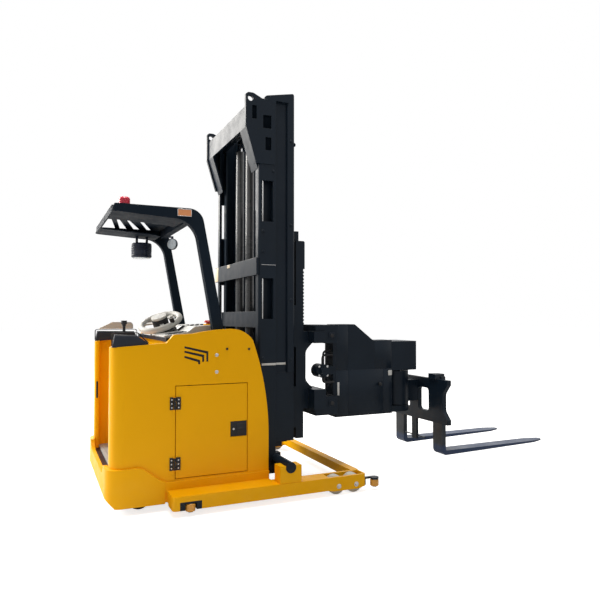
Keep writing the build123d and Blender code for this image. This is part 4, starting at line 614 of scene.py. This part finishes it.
class TRUCK_OT_body_fittings(bpy.types.Operator):
    """Dark vent liners, bolts on the body sides, axle bolts of the legs and the step's handle"""

    bl_idname = "truck.body_fittings"
    bl_label = "Body fittings"

    def execute(self, context):
        for side, sign in SIDES:
            out = Vector((0, sign, 0))
            liners = bmesh.new()
            floor = sign * (BODY_FACE - VENT_FLOOR + 0.2)
            for rear_z, bend, bend_z, drop in VENTS:
                front = bend + VENT_HALF
                back = bend - VENT_HALF
                tip = bend_z - VENT_HALF - drop
                outline = ((VENT_REAR, rear_z + VENT_HALF), (front, bend_z + VENT_HALF), (front, tip),
                           (back, tip), (back, bend_z - VENT_HALF), (VENT_REAR, rear_z - VENT_HALF))
                outline_plate(liners, [spot(st, floor, z) for st, z in outline], out * VENT_LINER)
            piece("vent_liners_" + side, liners, "chassis", TRIM)
            bright = bmesh.new()
            for st, z in BRIGHT_BOLTS:
                bolt(bright, spot(st, sign * BODY_FACE, z), out, SIDE_BOLT)
            piece("side_bolts_" + side, bright, "chassis", STEEL)
            dark = bmesh.new()
            for st, z in DARK_SCREWS:
                socket_screw(dark, spot(st, sign * BODY_FACE, z), out, SIDE_SCREW)
            piece("side_screws_" + side, dark, "chassis", TRIM)
            axles = bmesh.new()
            leg_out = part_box("leg_" + side)[0 if sign < 0 else 1].y
            for number in (1, 2):
                low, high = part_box("load_wheel_%s_%d" % (side, number))
                centre = (low + high) / 2
                bolt(axles, Vector((centre.x, leg_out, centre.z)), out, AXLE_BOLT)
            piece("axle_bolts_" + side, axles, "chassis", STEEL)
        handle = bmesh.new()
        slab(handle, spot(*HANDLE[0]), spot(*HANDLE[1]), 0.002, 3)
        piece("step_handle", handle, "chassis", TRIM)
        return {"FINISHED"}


# Arm pads, columns: side, front station, front station of the top
PADS = ((-1, 286.0, 212.0), (1, 398.0, 397.0))
PAD_REAR = 36.0
PAD_Y = (603.0, 661.0)
PAD_TOP = 1259.0
PAD_ROUNDS = (0, 0, 6, 24, 18)
PAD_SWELL = 5.0
PAD_DRAW = 9.0
PAD_STEPS = 14
WELT = 0.0022
WELT_BEND = 0.016


def pad_floor(st):
    return 1152.0 + (st - 30.0) * 26.0 / 375.0


def cushion(bm, outline, y0, y1, swell, rounding):
    """A stuffed pad: the outline shrinks towards both sides and its top swells in the middle"""
    centre = Vector((sum(p[0] for p in outline), sum(p[1] for p in outline))) / len(outline)
    low = min(z for st, z in outline)
    high = max(z for st, z in outline)
    rings = []
    for step in range(PAD_STEPS + 1):
        across = math.sin((step / PAD_STEPS - 0.5) * math.pi)
        draw = rounding * (1 - math.sqrt(max(0.0, 1 - abs(across) ** 5)))
        ring = []
        for st, z in outline:
            away = Vector((st, z)) - centre
            st = st - math.copysign(min(draw, abs(away.x)), away.x)
            share = (z - low) / (high - low)
            z = z - share * (draw + swell * across * across)
            ring.append(bm.verts.new(spot(st, (y0 + y1) / 2 + across * (y1 - y0) / 2, z)))
        rings.append([bm.edges.new(pair) for pair in zip(ring, ring[1:] + ring[:1])])
    for before, after in zip(rings, rings[1:]):
        bmesh.ops.bridge_loops(bm, edges=before + after)
    for ring in (rings[0], rings[-1]):
        bmesh.ops.edgeloop_fill(bm, edges=ring)
    bmesh.ops.recalc_face_normals(bm, faces=list(bm.faces))


def rounded_outline(points, rounds, steps=6):
    """Corner points with each corner turned to an arc of its radius"""
    made = []
    for index, (corner, radius) in enumerate(zip(points, rounds)):
        corner = Vector(corner)
        before = (Vector(points[index - 1]) - corner).normalized()
        after = (Vector(points[(index + 1) % len(points)]) - corner).normalized()
        if not radius:
            made.append(corner)
            continue
        half = before.angle(after) / 2
        reach = radius / math.tan(half)
        middle = corner + (before + after).normalized() * radius / math.sin(half)
        start = corner + before * reach - middle
        end = corner + after * reach - middle
        made += [middle + start.slerp(end, step / steps) for step in range(steps + 1)]
    return [tuple(point) for point in made]


class TRUCK_OT_arm_pads(bpy.types.Operator):
    """Stuffed arm pads with a welt along each side"""

    bl_idname = "truck.arm_pads"
    bl_label = "Arm pads"

    def execute(self, context):
        pads = bmesh.new()
        welts = bmesh.new()
        for sign, front, top_front in PADS:
            corners = [(PAD_REAR, pad_floor(PAD_REAR)), (front, pad_floor(front)),
                       (front, pad_floor(front) + 14), (top_front, PAD_TOP), (PAD_REAR, PAD_TOP)]
            outline = rounded_outline(corners, PAD_ROUNDS)
            y0, y1 = sorted((sign * PAD_Y[0], sign * PAD_Y[1]))
            cushion(pads, outline, y0, y1, PAD_SWELL, PAD_DRAW)
            for y in (y0 + 5, y1 - 5):
                run = [spot(PAD_REAR + 1.5, y, pad_floor(PAD_REAR) + 10),
                       spot(PAD_REAR + 1.5, y, PAD_TOP - 5.5), spot(top_front - 1, y, PAD_TOP - 5.5),
                       spot(front - 1.5, y, pad_floor(front) + 11)]
                pipe(welts, run, WELT, WELT_BEND, 8, 5)
        made = piece("pad_cushions", pads, "chassis", ("black_trim", "pad_vinyl"), 60.0)
        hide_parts("arm_pads")
        piece("pad_welts", welts, "chassis", TRIM)
        return {"FINISHED"}


# The steering wheel leans back and to the right
STEER_FRAME = Matrix.Rotation(math.radians(17), 3, "X") @ Matrix.Rotation(math.radians(-20), 3, "Y")
STEER_AXIS = STEER_FRAME @ UP
STEER_CENTRE = spot(480, -60, 1322)
HUB_SHAPE = ((0, 0), (0.0635, 0), (0.0635, 0.060), (0.058, 0.074), (0.040, 0.080), (0.040, 0.0785),
             (0, 0.0785))
BOOT_SHAPE = ((0, 0), (0.108, 0), (0.104, 0.016), (0.088, 0.020), (0.084, 0.032), (0.070, 0.036),
              (0.064, 0.046), (0, 0.046))
CAP_SHAPE = ((0, 0), (0.036, 0), (0.035, 0.0026), (0, 0.0050))
GRIP_AT = (0.078, -0.1351, 0.010)
GRIP_SHAPE = ((0, 0), (0.0185, 0), (0.0185, 0.012), (0.0195, 0.030), (0.0192, 0.044), (0.012, 0.0515),
              (0, 0.052))
KNOB_SHAPE = ((0, 0), (0.0165, 0.001), (0.0205, 0.006), (0.0208, 0.012), (0.0175, 0.0195), (0.010, 0.0245),
              (0, 0.026))
# Stop button, display and key slots of the console
STOP_SHAPE = ((0, 0), (0.016, 0), (0.016, 0.010), (0.030, 0.012), (0.031, 0.020), (0.024, 0.028), (0, 0.030))
STOP_ST = 770
STOP_Y = -450
DISPLAY = spot(611, -170, 1277)
DISPLAY_SLOPE = math.atan2(42, 55)
DISPLAY_HALF = 0.007
KEY_SLOT_Y = (-500, -392)
KEY_SLOT_SLOPE = math.atan2(26, 173)
# Push buttons: stations, radius, and in two colours with columns piece, slot and finish, places to the left
BUTTON_ST = (668, 708, 748)
BUTTON = 0.013
BUTTONS = (("push_buttons_dark", TRIM, (-345, -255)), ("push_buttons_pale", PALE, (-300, -210)))


def console_top(st):
    return 1294 + (st - 640) * 10 / 166


def tilted(bm, middle, half, offset, segments, slope):
    """A rounded block about its middle, which rises towards the front"""
    half = Vector(half)
    slab(bm, middle - half, middle + half, offset, segments, Matrix.Rotation(-slope, 3, "Y"))


class TRUCK_OT_console_fittings(bpy.types.Operator):
    """Stop button, display, push buttons, slots, steering boot, hub and grip, knob of the hand lever"""

    bl_idname = "truck.console_fittings"
    bl_label = "Console fittings"

    def execute(self, context):
        stop_base = bmesh.new()
        disc(stop_base, spot(STOP_ST, STOP_Y, 1301), UP, 0.036, 0.010, segments=36, offset=0.003)
        piece("stop_base", stop_base, "chassis", ("yellow_paint", "yellow_enamel"))
        at = spot(STOP_ST, STOP_Y, 1310)
        spun("stop_button", "chassis", ("red_lens", "red_plastic"), at, UP, STOP_SHAPE)
        screen = bmesh.new()
        tilted(screen, DISPLAY, (0.030, 0.082, DISPLAY_HALF), 0.006, 4, DISPLAY_SLOPE)
        piece("display_bezel", screen, "chassis", TRIM)
        glass = bmesh.new()
        front = DISPLAY + Vector((-math.sin(DISPLAY_SLOPE), 0, math.cos(DISPLAY_SLOPE))) * DISPLAY_HALF
        tilted(glass, front, (0.022, 0.070, 0.001), 0.0006, 2, DISPLAY_SLOPE)
        piece("display_glass", glass, "chassis", (None, "dark_glass"))
        for name, look, places in BUTTONS:
            buttons = bmesh.new()
            for st in BUTTON_ST:
                for y in places:
                    foot = spot(st, y, console_top(st) - 0.5)
                    disc(buttons, foot, UP, BUTTON, 0.010, top=BUTTON * 0.9, segments=24, offset=0.002)
            piece(name, buttons, "chassis", look)
        slots = bmesh.new()
        for y in KEY_SLOT_Y:
            tilted(slots, spot(520, y, 1243), (0.070, 0.018, 0.004), 0.003, 3, KEY_SLOT_SLOPE)
        piece("key_slots", slots, "chassis", TRIM)
        at = STEER_CENTRE - STEER_AXIS * 0.088
        spun("column_boot", "chassis", TRIM, at, STEER_AXIS, BOOT_SHAPE, 48)
        hub = bmesh.new()
        lathe(hub, STEER_CENTRE - STEER_AXIS * 0.026, STEER_AXIS, HUB_SHAPE, 48)
        lathe(hub, STEER_CENTRE + STEER_FRAME @ Vector(GRIP_AT), STEER_AXIS, GRIP_SHAPE, 28)
        piece("steering_hub", hub, "steering_wheel", TRIM)
        at = STEER_CENTRE + STEER_AXIS * 0.0523
        spun("steering_cap", "steering_wheel", ("wheel_rim", "pale_plate"), at, STEER_AXIS, CAP_SHAPE)
        low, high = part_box("hand_lever")
        at = Vector(((low.x + high.x) / 2, (low.y + high.y) / 2, high.z - 0.026))
        spun("lever_knob", "chassis", TRIM, at, UP, KNOB_SHAPE, angle=80.0)
        return {"FINISHED"}


# Radius of a mat stud at its foot and at its top
STUD = 0.009
STUD_TOP = 0.007


class TRUCK_OT_step_mat(bpy.types.Operator):
    """Round studs over the rubber step mat"""

    bl_idname = "truck.step_mat"
    bl_label = "Step mat"

    def execute(self, context):
        low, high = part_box("step_mat")
        pitch = fittings().stud_pitch
        studs = bmesh.new()
        rows = int((high.x - low.x - 0.06) / pitch)
        columns = int((high.y - low.y - 0.06) / pitch)
        for row in range(rows + 1):
            for column in range(columns + 1):
                at = Vector((low.x + 0.03 + row * pitch, low.y + 0.033 + column * pitch, high.z - 0.0004))
                corner = row < 2 and (column < 2 or column > columns - 2)
                if not corner:
                    disc(studs, at, UP, STUD, fittings().stud_rise, top=STUD_TOP, segments=10)
        piece("mat_studs", studs, "chassis", ("grey_mat", "grey_rubber"))
        return {"FINISHED"}


# Beacon, frames of the reflectors, lamp and mirror
BEACON_BASE = ((0, 0), (0.046, 0), (0.046, 0.014), (0.041, 0.020), (0, 0.020))
BEACON_RIBS = 6
FRAME_OUT = 0.003
FRAME_IN = 0.001
LAMP_ST = 415
LAMP_Y = 510
LAMP_GLASS_Z = 1890
LAMP_GLASS = ((0, 0), (0.070, 0.0), (0.076, 0.003), (0.076, 0.0075), (0, 0.0075))
LAMP_BANDS_Z = (1912, 1958, 1976, 1994)
LAMP_BAND = ((0.080, 0), (0.0895, 0), (0.091, 0.003), (0.0895, 0.007), (0.080, 0.007), (0.080, 0))
MIRROR = spot(690, 500, 2034)
MIRROR_FACING = Vector((-1, -1, 0)).normalized()
MIRROR_GLASS = ((0, 0), (0.047, 0), (0.046, 0.002), (0.030, 0.0045), (0, 0.006))
# Plate under a guard post for side_slab, then stations, places, height and radius of its bolts
FOOT = (752, 866, 562, 636, 1215, 1223)
FOOT_BOLT_ST = (759, 858)
FOOT_BOLT_Y = (572, 624)
FOOT_BOLT_Z = 1223
FOOT_BOLT = 0.006


class TRUCK_OT_guard_fittings(bpy.types.Operator):
    """Ribbed beacon, reflector frames, lamp lens and bands, mirror glass and post feet of the guard"""

    bl_idname = "truck.guard_fittings"
    bl_label = "Guard fittings"

    def execute(self, context):
        low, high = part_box("beacon")
        middle = (low + high) / 2
        foot = Vector((middle.x, middle.y, low.z))
        tall = high.z - low.z
        spun("beacon_base", "chassis", TRIM, foot, UP, BEACON_BASE)
        profile = [(0, 0.019), (0.037, 0.019)]
        for rib in range(BEACON_RIBS):
            start = 0.022 + rib * (tall - 0.034) / BEACON_RIBS
            profile += [(0.040, start), (0.040, start + 0.004), (0.038, start + 0.006)]
        profile += [(0.036, tall - 0.006), (0.026, tall - 0.001), (0, tall)]
        lens_piece = spun("beacon_lens", "chassis", ("red_lens", "red_lens"), foot, UP, profile, 48, 60.0)
        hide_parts("beacon")
        low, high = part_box("guard_reflectors")
        for side, sign in SIDES:
            edge = high.y if sign > 0 else low.y
            back = edge - sign * 0.008
            bars = bmesh.new()
            for z0, z1 in ((low.z - FRAME_OUT, low.z + FRAME_IN), (high.z - FRAME_IN, high.z + FRAME_OUT)):
                slab(bars, Vector((low.x - FRAME_OUT, back, z0)),
                     Vector((high.x + FRAME_OUT, edge + sign * 0.0015, z1)), 0.001)
            for x0, x1 in ((low.x - FRAME_OUT, low.x + FRAME_IN), (high.x - FRAME_IN, high.x + FRAME_OUT)):
                slab(bars, Vector((x0, back, low.z - 0.002)),
                     Vector((x1, edge + sign * 0.0012, high.z + 0.002)), 0.001)
            piece("reflector_frame_" + side, bars, "chassis", STEEL)
        at = spot(LAMP_ST, LAMP_Y, LAMP_GLASS_Z)
        spun("lamp_glass", "chassis", GLASS, at, UP, LAMP_GLASS, 48)
        bands = bmesh.new()
        for z in LAMP_BANDS_Z:
            lathe(bands, spot(LAMP_ST, LAMP_Y, z), UP, LAMP_BAND, 48)
        # The bands take the lamp's finish with its painted blue sheen
        piece("lamp_bands", bands, "chassis", ("black_trim", "lamp_shell_blue_sheen"))
        at = MIRROR + MIRROR_FACING * 0.0097
        spun("mirror_glass", "chassis", GLASS, at, MIRROR_FACING, MIRROR_GLASS, 48)
        feet = bmesh.new()
        bolts = bmesh.new()
        for side, sign in SIDES:
            side_slab(feet, sign, 0, FOOT, 0.003)
            for st in FOOT_BOLT_ST:
                for y in FOOT_BOLT_Y:
                    bolt(bolts, spot(st, sign * y, FOOT_BOLT_Z), UP, FOOT_BOLT)
        piece("post_feet", feet, "chassis", ("black_paint", "matt_black"))
        piece("post_bolts", bolts, "chassis", STEEL)
        return {"FINISHED"}


# Blocks on the mast's sides for side_slab
STRAPS = ((1165, 1283, -0.5, 1.5, 985, 1002), (1288, 1380, -30.5, -28.5, 985, 1002))
SEAM = (1162, 1284, -0.5, 1.0, 1774, 1777)
WINDOW_BARS = tuple((st0, st1, -13, -9, z0, z1) for z0, z1 in ((1349.0, 1670.0), (2118.0, 2443.0))
                    for st0, st1 in ((1172, 1180), (1268, 1274)))
# Dark sheets on the lifting ears for side_slab: painted shade where the ears lie in shade
EAR_SHADE_SHEETS = ((1081.0, 1117.0, -0.6, 1.0, 2922.0, 3026.0), (1173.0, 1240.0, -0.6, 1.0, 2859.0, 2961.0),
              (1193.0, 1240.0, -0.6, 1.0, 2685.0, 2786.0))
SHOE = (1164, 1306, -18, 0, 141, 224)
SHOE_BOLTS = ((1186, 190), (1284, 190))
SHOE_BOLT = 0.010
# Bolts of the mast, columns: station, height
MAST_BOLTS = ((1176, 1043), (1176, 1880), (1176, 2040), (1262, 2520), (1416, 1020), (1416, 2780),
              (1416, 2100), (1416, 1500))
MAST_BOLT = 0.011
# Cream plates on the cross plate's rear face, a painted highlight where light falls on the black paint;
# columns: right, left, bottom, top
PLATE_HIGHLIGHTS = ((470, 571, 1698, 1828), (112, 190, 1800, 1828))


class TRUCK_OT_mast_fittings(bpy.types.Operator):
    """Straps, seams, window bars, dark sheets of painted shade on the ears, bolts and shoes of the mast, and
    cream plates of painted highlight on its cross plate
    """

    bl_idname = "truck.mast_fittings"
    bl_label = "Mast fittings"

    def execute(self, context):
        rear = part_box("mast_outer_uprights")[0].x
        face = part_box("mast_outer_uprights")[1].y / MM
        for side, sign in SIDES:
            out = Vector((0, sign, 0))
            strap = bmesh.new()
            for row in STRAPS:
                side_slab(strap, sign, face, row, 0.0006)
            piece("mast_strap_" + side, strap, "chassis", PALE)
            seam = bmesh.new()
            side_slab(seam, sign, face, SEAM, 0.0004)
            for row in WINDOW_BARS:
                side_slab(seam, sign, face, row, 0.0008)
            piece("mast_seams_" + side, seam, "chassis", STEEL)
            # Near-black sheets over the ears are painted shade
            liners = bmesh.new()
            for row in EAR_SHADE_SHEETS:
                side_slab(liners, sign, face, row, 0.0004)
            piece("ear_shade_sheets_" + side, liners, "chassis", ("black_trim", "painted_shade_black"))
            bolts = bmesh.new()
            for st, z in MAST_BOLTS:
                bolt(bolts, spot(st, sign * face, z), out, MAST_BOLT)
            bolt(bolts, spot(1449, sign * (face - 24), 2762), (1, 0, 0), 0.014)
            piece("mast_bolts_" + side, bolts, "chassis", BLACK)
            shoe = bmesh.new()
            side_slab(shoe, sign, face, SHOE, 0.004, 3)
            for st, z in SHOE_BOLTS:
                bolt(shoe, spot(st, sign * face, z), out, SHOE_BOLT)
            piece("mast_shoe_" + side, shoe, "chassis", BLACK)
        # Cream plates that paint a highlight on the black cross plate
        pads = bmesh.new()
        for y0, y1, z0, z1 in PLATE_HIGHLIGHTS:
            low = Vector((rear - 0.0215, y0 * MM, z0 * MM))
            slab(pads, low, Vector((rear - 0.0195, y1 * MM, z1 * MM)), 0.0006)
        piece("cross_plate_highlights", pads, "chassis", ("pale_panel", "cream_highlight_paint"))
        return {"FINISHED"}


# Both sides of the swing arm and its cover plates, columns: rear, front, bottom, top
ARM_NEAR = -560.0
ARM_FAR = -410.0
ARM_PLATES = ((1824, 1938, 540, 920), (1941, 2282, 540, 920), (2285, 2368, 540, 920), (1824, 1938, 923, 1298),
              (2200, 2368, 923, 1160))
# Pads on the slider's knuckles: middle, half size, heights, and both sides with their outward sign
SLIDER_PAD_ST = 1765
SLIDER_PAD_HALF = 27
SLIDER_PAD_Z = (1212, 664)
SLIDER_PAD_SIDES = ((-600, -1), (-200, 1))
ARM_KNOB = ((0, 0), (0.008, 0), (0.008, 0.008), (0.014, 0.010), (0.014, 0.022), (0.010, 0.026), (0, 0.026))
# Pipes of the motor: the upper ones by station, place and height of the bend, the lower ones by place
UPPER_PIPES = ((1706, -548, 1052), (1728, -520, 1084))
LOWER_PIPES = (-588, -612)
PIPE_END = 1801
MOTOR_BOLTS = tuple((st, z) for st in (1654, 1726) for z in (889, 961))


class TRUCK_OT_head_fittings(bpy.types.Operator):
    """Cover plates, bolts, pipes and small fittings of the traversing head"""

    bl_idname = "truck.head_fittings"
    bl_label = "Head fittings"

    def execute(self, context):
        plates = bmesh.new()
        for st0, st1, z0, z1 in ARM_PLATES:
            for y, out in ((ARM_NEAR, -1), (ARM_FAR, 1)):
                slab(plates, spot(st0, y - out * 0.3, z0), spot(st1, y + out * 0.9, z1), 0.0006)
        piece("arm_plates", plates, "slider", BLACK)
        pads = bmesh.new()
        sockets = bmesh.new()
        half = SLIDER_PAD_HALF
        for z in SLIDER_PAD_Z:
            for y, out in SLIDER_PAD_SIDES:
                slab(pads, spot(SLIDER_PAD_ST - half, y - out * 0.4, z - half),
                     spot(SLIDER_PAD_ST + half, y + out * 7, z + half), 0.003, 3)
                at = spot(SLIDER_PAD_ST, y + out * 6.8, z)
                disc(sockets, at, (0, out, 0), 0.017, 0.008, segments=6, offset=0.001)
        piece("knuckle_pads", pads, "slider", BLACK)
        piece("knuckle_bolts", sockets, "slider", TRIM)
        sensor = bmesh.new()
        slab(sensor, spot(2334, ARM_NEAR - 5, 862), spot(2371, ARM_NEAR + 0.4, 905), 0.002, 3)
        piece("arm_sensor", sensor, "slider", PALE)
        spun("arm_knob", "slider", TRIM, spot(2245, ARM_NEAR - 0.6, 793), (0, -1, 0), ARM_KNOB)
        bracket = bmesh.new()
        slab(bracket, spot(1838, ARM_NEAR - 4, 716), spot(1856, ARM_NEAR - 0.6, 824), 0.001)
        piece("arm_bracket", bracket, "slider", PALE)
        pipes = bmesh.new()
        for st, y, z in UPPER_PIPES:
            pipe(pipes, [spot(st, y, 968), spot(st, y, z), spot(PIPE_END, y, z)], 0.009, 0.030)
        for y in LOWER_PIPES:
            pipe(pipes, [spot(1690, y, 872), spot(1690, y, 832), spot(PIPE_END, y + 40, 832)], 0.008, 0.026)
        piece("motor_pipes", pipes, "slider", TRIM)
        flange = bmesh.new()
        for st, z in MOTOR_BOLTS:
            bolt(flange, spot(st, -600, z), (0, -1, 0), 0.007)
        piece("motor_bolts", flange, "slider", STEEL)
        return {"FINISHED"}


ROLLER_HUB = ((0.0105, 0), (0.020, 0), (0.020, 0.0025), (0.0105, 0.0025), (0.0105, 0))


class TRUCK_OT_wheel_hubs(bpy.types.Operator):
    """Hub caps on the guide rollers"""

    bl_idname = "truck.wheel_hubs"
    bl_label = "Wheel hubs"

    def execute(self, context):
        for name in GUIDE_ROLLERS:
            low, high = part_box(name)
            middle = (low + high) / 2
            spun("hub_" + name, name, STEEL, Vector((middle.x, middle.y, high.z - 0.0005)), UP, ROLLER_HUB)
        return {"FINISHED"}


FLOOR_SIZE = 60.0
FLOOR_TONE = 0.82
FLOOR_GLOW = 0.76
LIGHT_COLOUR = (1.0, 0.965, 0.91)
LIGHT_AIM = Vector((-0.6, 0.0, 1.0))
# Lights, columns: name, place, size, share of the key light's power
LIGHTS = (("key", (-7.5, 4.5, 5.5), 4.5, 1.0), ("rim", (-3.0, 9.0, 5.6), 5.0, 0.42),
          ("top", (-1.4, -0.9, 8.0), 3.0, 0.42))


class TRUCK_OT_studio(bpy.types.Operator):
    """Pale floor, white surroundings, soft lights and the camera"""

    bl_idname = "truck.studio"
    bl_label = "Studio"

    def execute(self, context):
        scene = context.scene
        studio = scene.truck_studio
        scene.view_settings.view_transform = "Standard"
        bm = bmesh.new()
        bmesh.ops.create_grid(bm, x_segments=8, y_segments=8, size=FLOOR_SIZE)
        mesh = bpy.data.meshes.new("floor")
        bm.to_mesh(mesh)
        bm.free()
        floor = bpy.data.objects.new("floor", mesh)
        scene.collection.objects.link(floor)
        pale = bpy.data.materials.new("pale_floor")
        pale.use_nodes = True
        tree = pale.node_tree
        tree.nodes.clear()
        out = node(tree, "ShaderNodeOutputMaterial", 600, 0)
        matt = node(tree, "ShaderNodeBsdfDiffuse", 0, 100)
        matt.inputs["Color"].default_value = (FLOOR_TONE, FLOOR_TONE, FLOOR_TONE, 1)
        glow = node(tree, "ShaderNodeEmission", 0, -100)
        rays = node(tree, "ShaderNodeLightPath", -400, -100)
        shown = math_node(tree, "MULTIPLY", rays.outputs["Is Camera Ray"], FLOOR_GLOW, -200, -100)
        link(tree, shown, glow.inputs["Strength"])
        both = node(tree, "ShaderNodeAddShader", 300, 0)
        link(tree, matt.outputs[0], both.inputs[0])
        link(tree, glow.outputs[0], both.inputs[1])
        link(tree, both.outputs[0], out.inputs["Surface"])
        mesh.materials.append(pale)
        world = bpy.data.worlds.new("white_room")
        scene.world = world
        world.use_nodes = True
        tree = world.node_tree
        tree.nodes.clear()
        out = node(tree, "ShaderNodeOutputWorld", 600, 0)
        room = node(tree, "ShaderNodeBackground", 300, 0)
        room.inputs["Color"].default_value = (1.0, 1.0, 1.0, 1.0)
        kinds = node(tree, "ShaderNodeLightPath", -600, 0).outputs
        seen = math_node(tree, "MAXIMUM", kinds["Is Camera Ray"], kinds["Is Glossy Ray"], -400, 0)
        seen = math_node(tree, "MAXIMUM", seen, kinds["Is Transmission Ray"], -250, 0)
        level = node(tree, "ShaderNodeMapRange", -80, 0)
        link(tree, seen, level.inputs["Value"])
        level.inputs["To Min"].default_value = studio.ambient
        level.inputs["To Max"].default_value = 1.0
        link(tree, level.outputs["Result"], room.inputs["Strength"])
        link(tree, room.outputs[0], out.inputs["Surface"])
        for name, place, size, share in LIGHTS:
            light = bpy.data.lights.new(name + "_light", "AREA")
            light.shape = "SQUARE"
            light.size = size
            light.energy = studio.key * share
            light.color = LIGHT_COLOUR
            lamp = bpy.data.objects.new(name + "_light", light)
            lamp.location = place
            aim = LIGHT_AIM - lamp.location
            lamp.rotation_euler = aim.to_track_quat("-Z", "Y").to_euler()
            lamp.visible_camera = False
            scene.collection.objects.link(lamp)
        camera = bpy.data.cameras.new("camera")
        camera.lens = studio.lens
        camera.sensor_width = 36.0
        stand = bpy.data.objects.new("camera", camera)
        stand.location = studio.camera
        stand.rotation_euler = studio.turn
        scene.collection.objects.link(stand)
        scene.camera = stand
        return {"FINISHED"}


OPERATORS = (TRUCK_OT_studio, TRUCK_OT_finishes, TRUCK_OT_door_fittings, TRUCK_OT_body_fittings,
             TRUCK_OT_arm_pads, TRUCK_OT_console_fittings, TRUCK_OT_step_mat, TRUCK_OT_guard_fittings,
             TRUCK_OT_mast_fittings, TRUCK_OT_head_fittings, TRUCK_OT_wheel_hubs)


class TRUCK_PT_panel(bpy.types.Panel):
    """Lists the truck's operators and settings"""

    bl_idname = "TRUCK_PT_panel"
    bl_label = "Reach truck"
    bl_space_type = "VIEW_3D"
    bl_region_type = "UI"
    bl_category = "Truck"

    def draw(self, context):
        for operator in OPERATORS:
            self.layout.operator(operator.bl_idname)
        for attribute, group in GROUPS:
            settings = getattr(context.scene, attribute)
            for name in group.__annotations__:
                self.layout.prop(settings, name)


def register():
    for attribute, group in GROUPS:
        bpy.utils.register_class(group)
        setattr(bpy.types.Scene, attribute, PointerProperty(type=group))
    for operator in OPERATORS:
        bpy.utils.register_class(operator)
    bpy.utils.register_class(TRUCK_PT_panel)


def unregister():
    bpy.utils.unregister_class(TRUCK_PT_panel)
    for operator in reversed(OPERATORS):
        bpy.utils.unregister_class(operator)
    for attribute, group in reversed(GROUPS):
        delattr(bpy.types.Scene, attribute)
        bpy.utils.unregister_class(group)


def main():
    register()
    for operator in OPERATORS:
        family, name = operator.bl_idname.split(".")
        getattr(getattr(bpy.ops, family), name)()


if __name__ == "__main__":
    main()
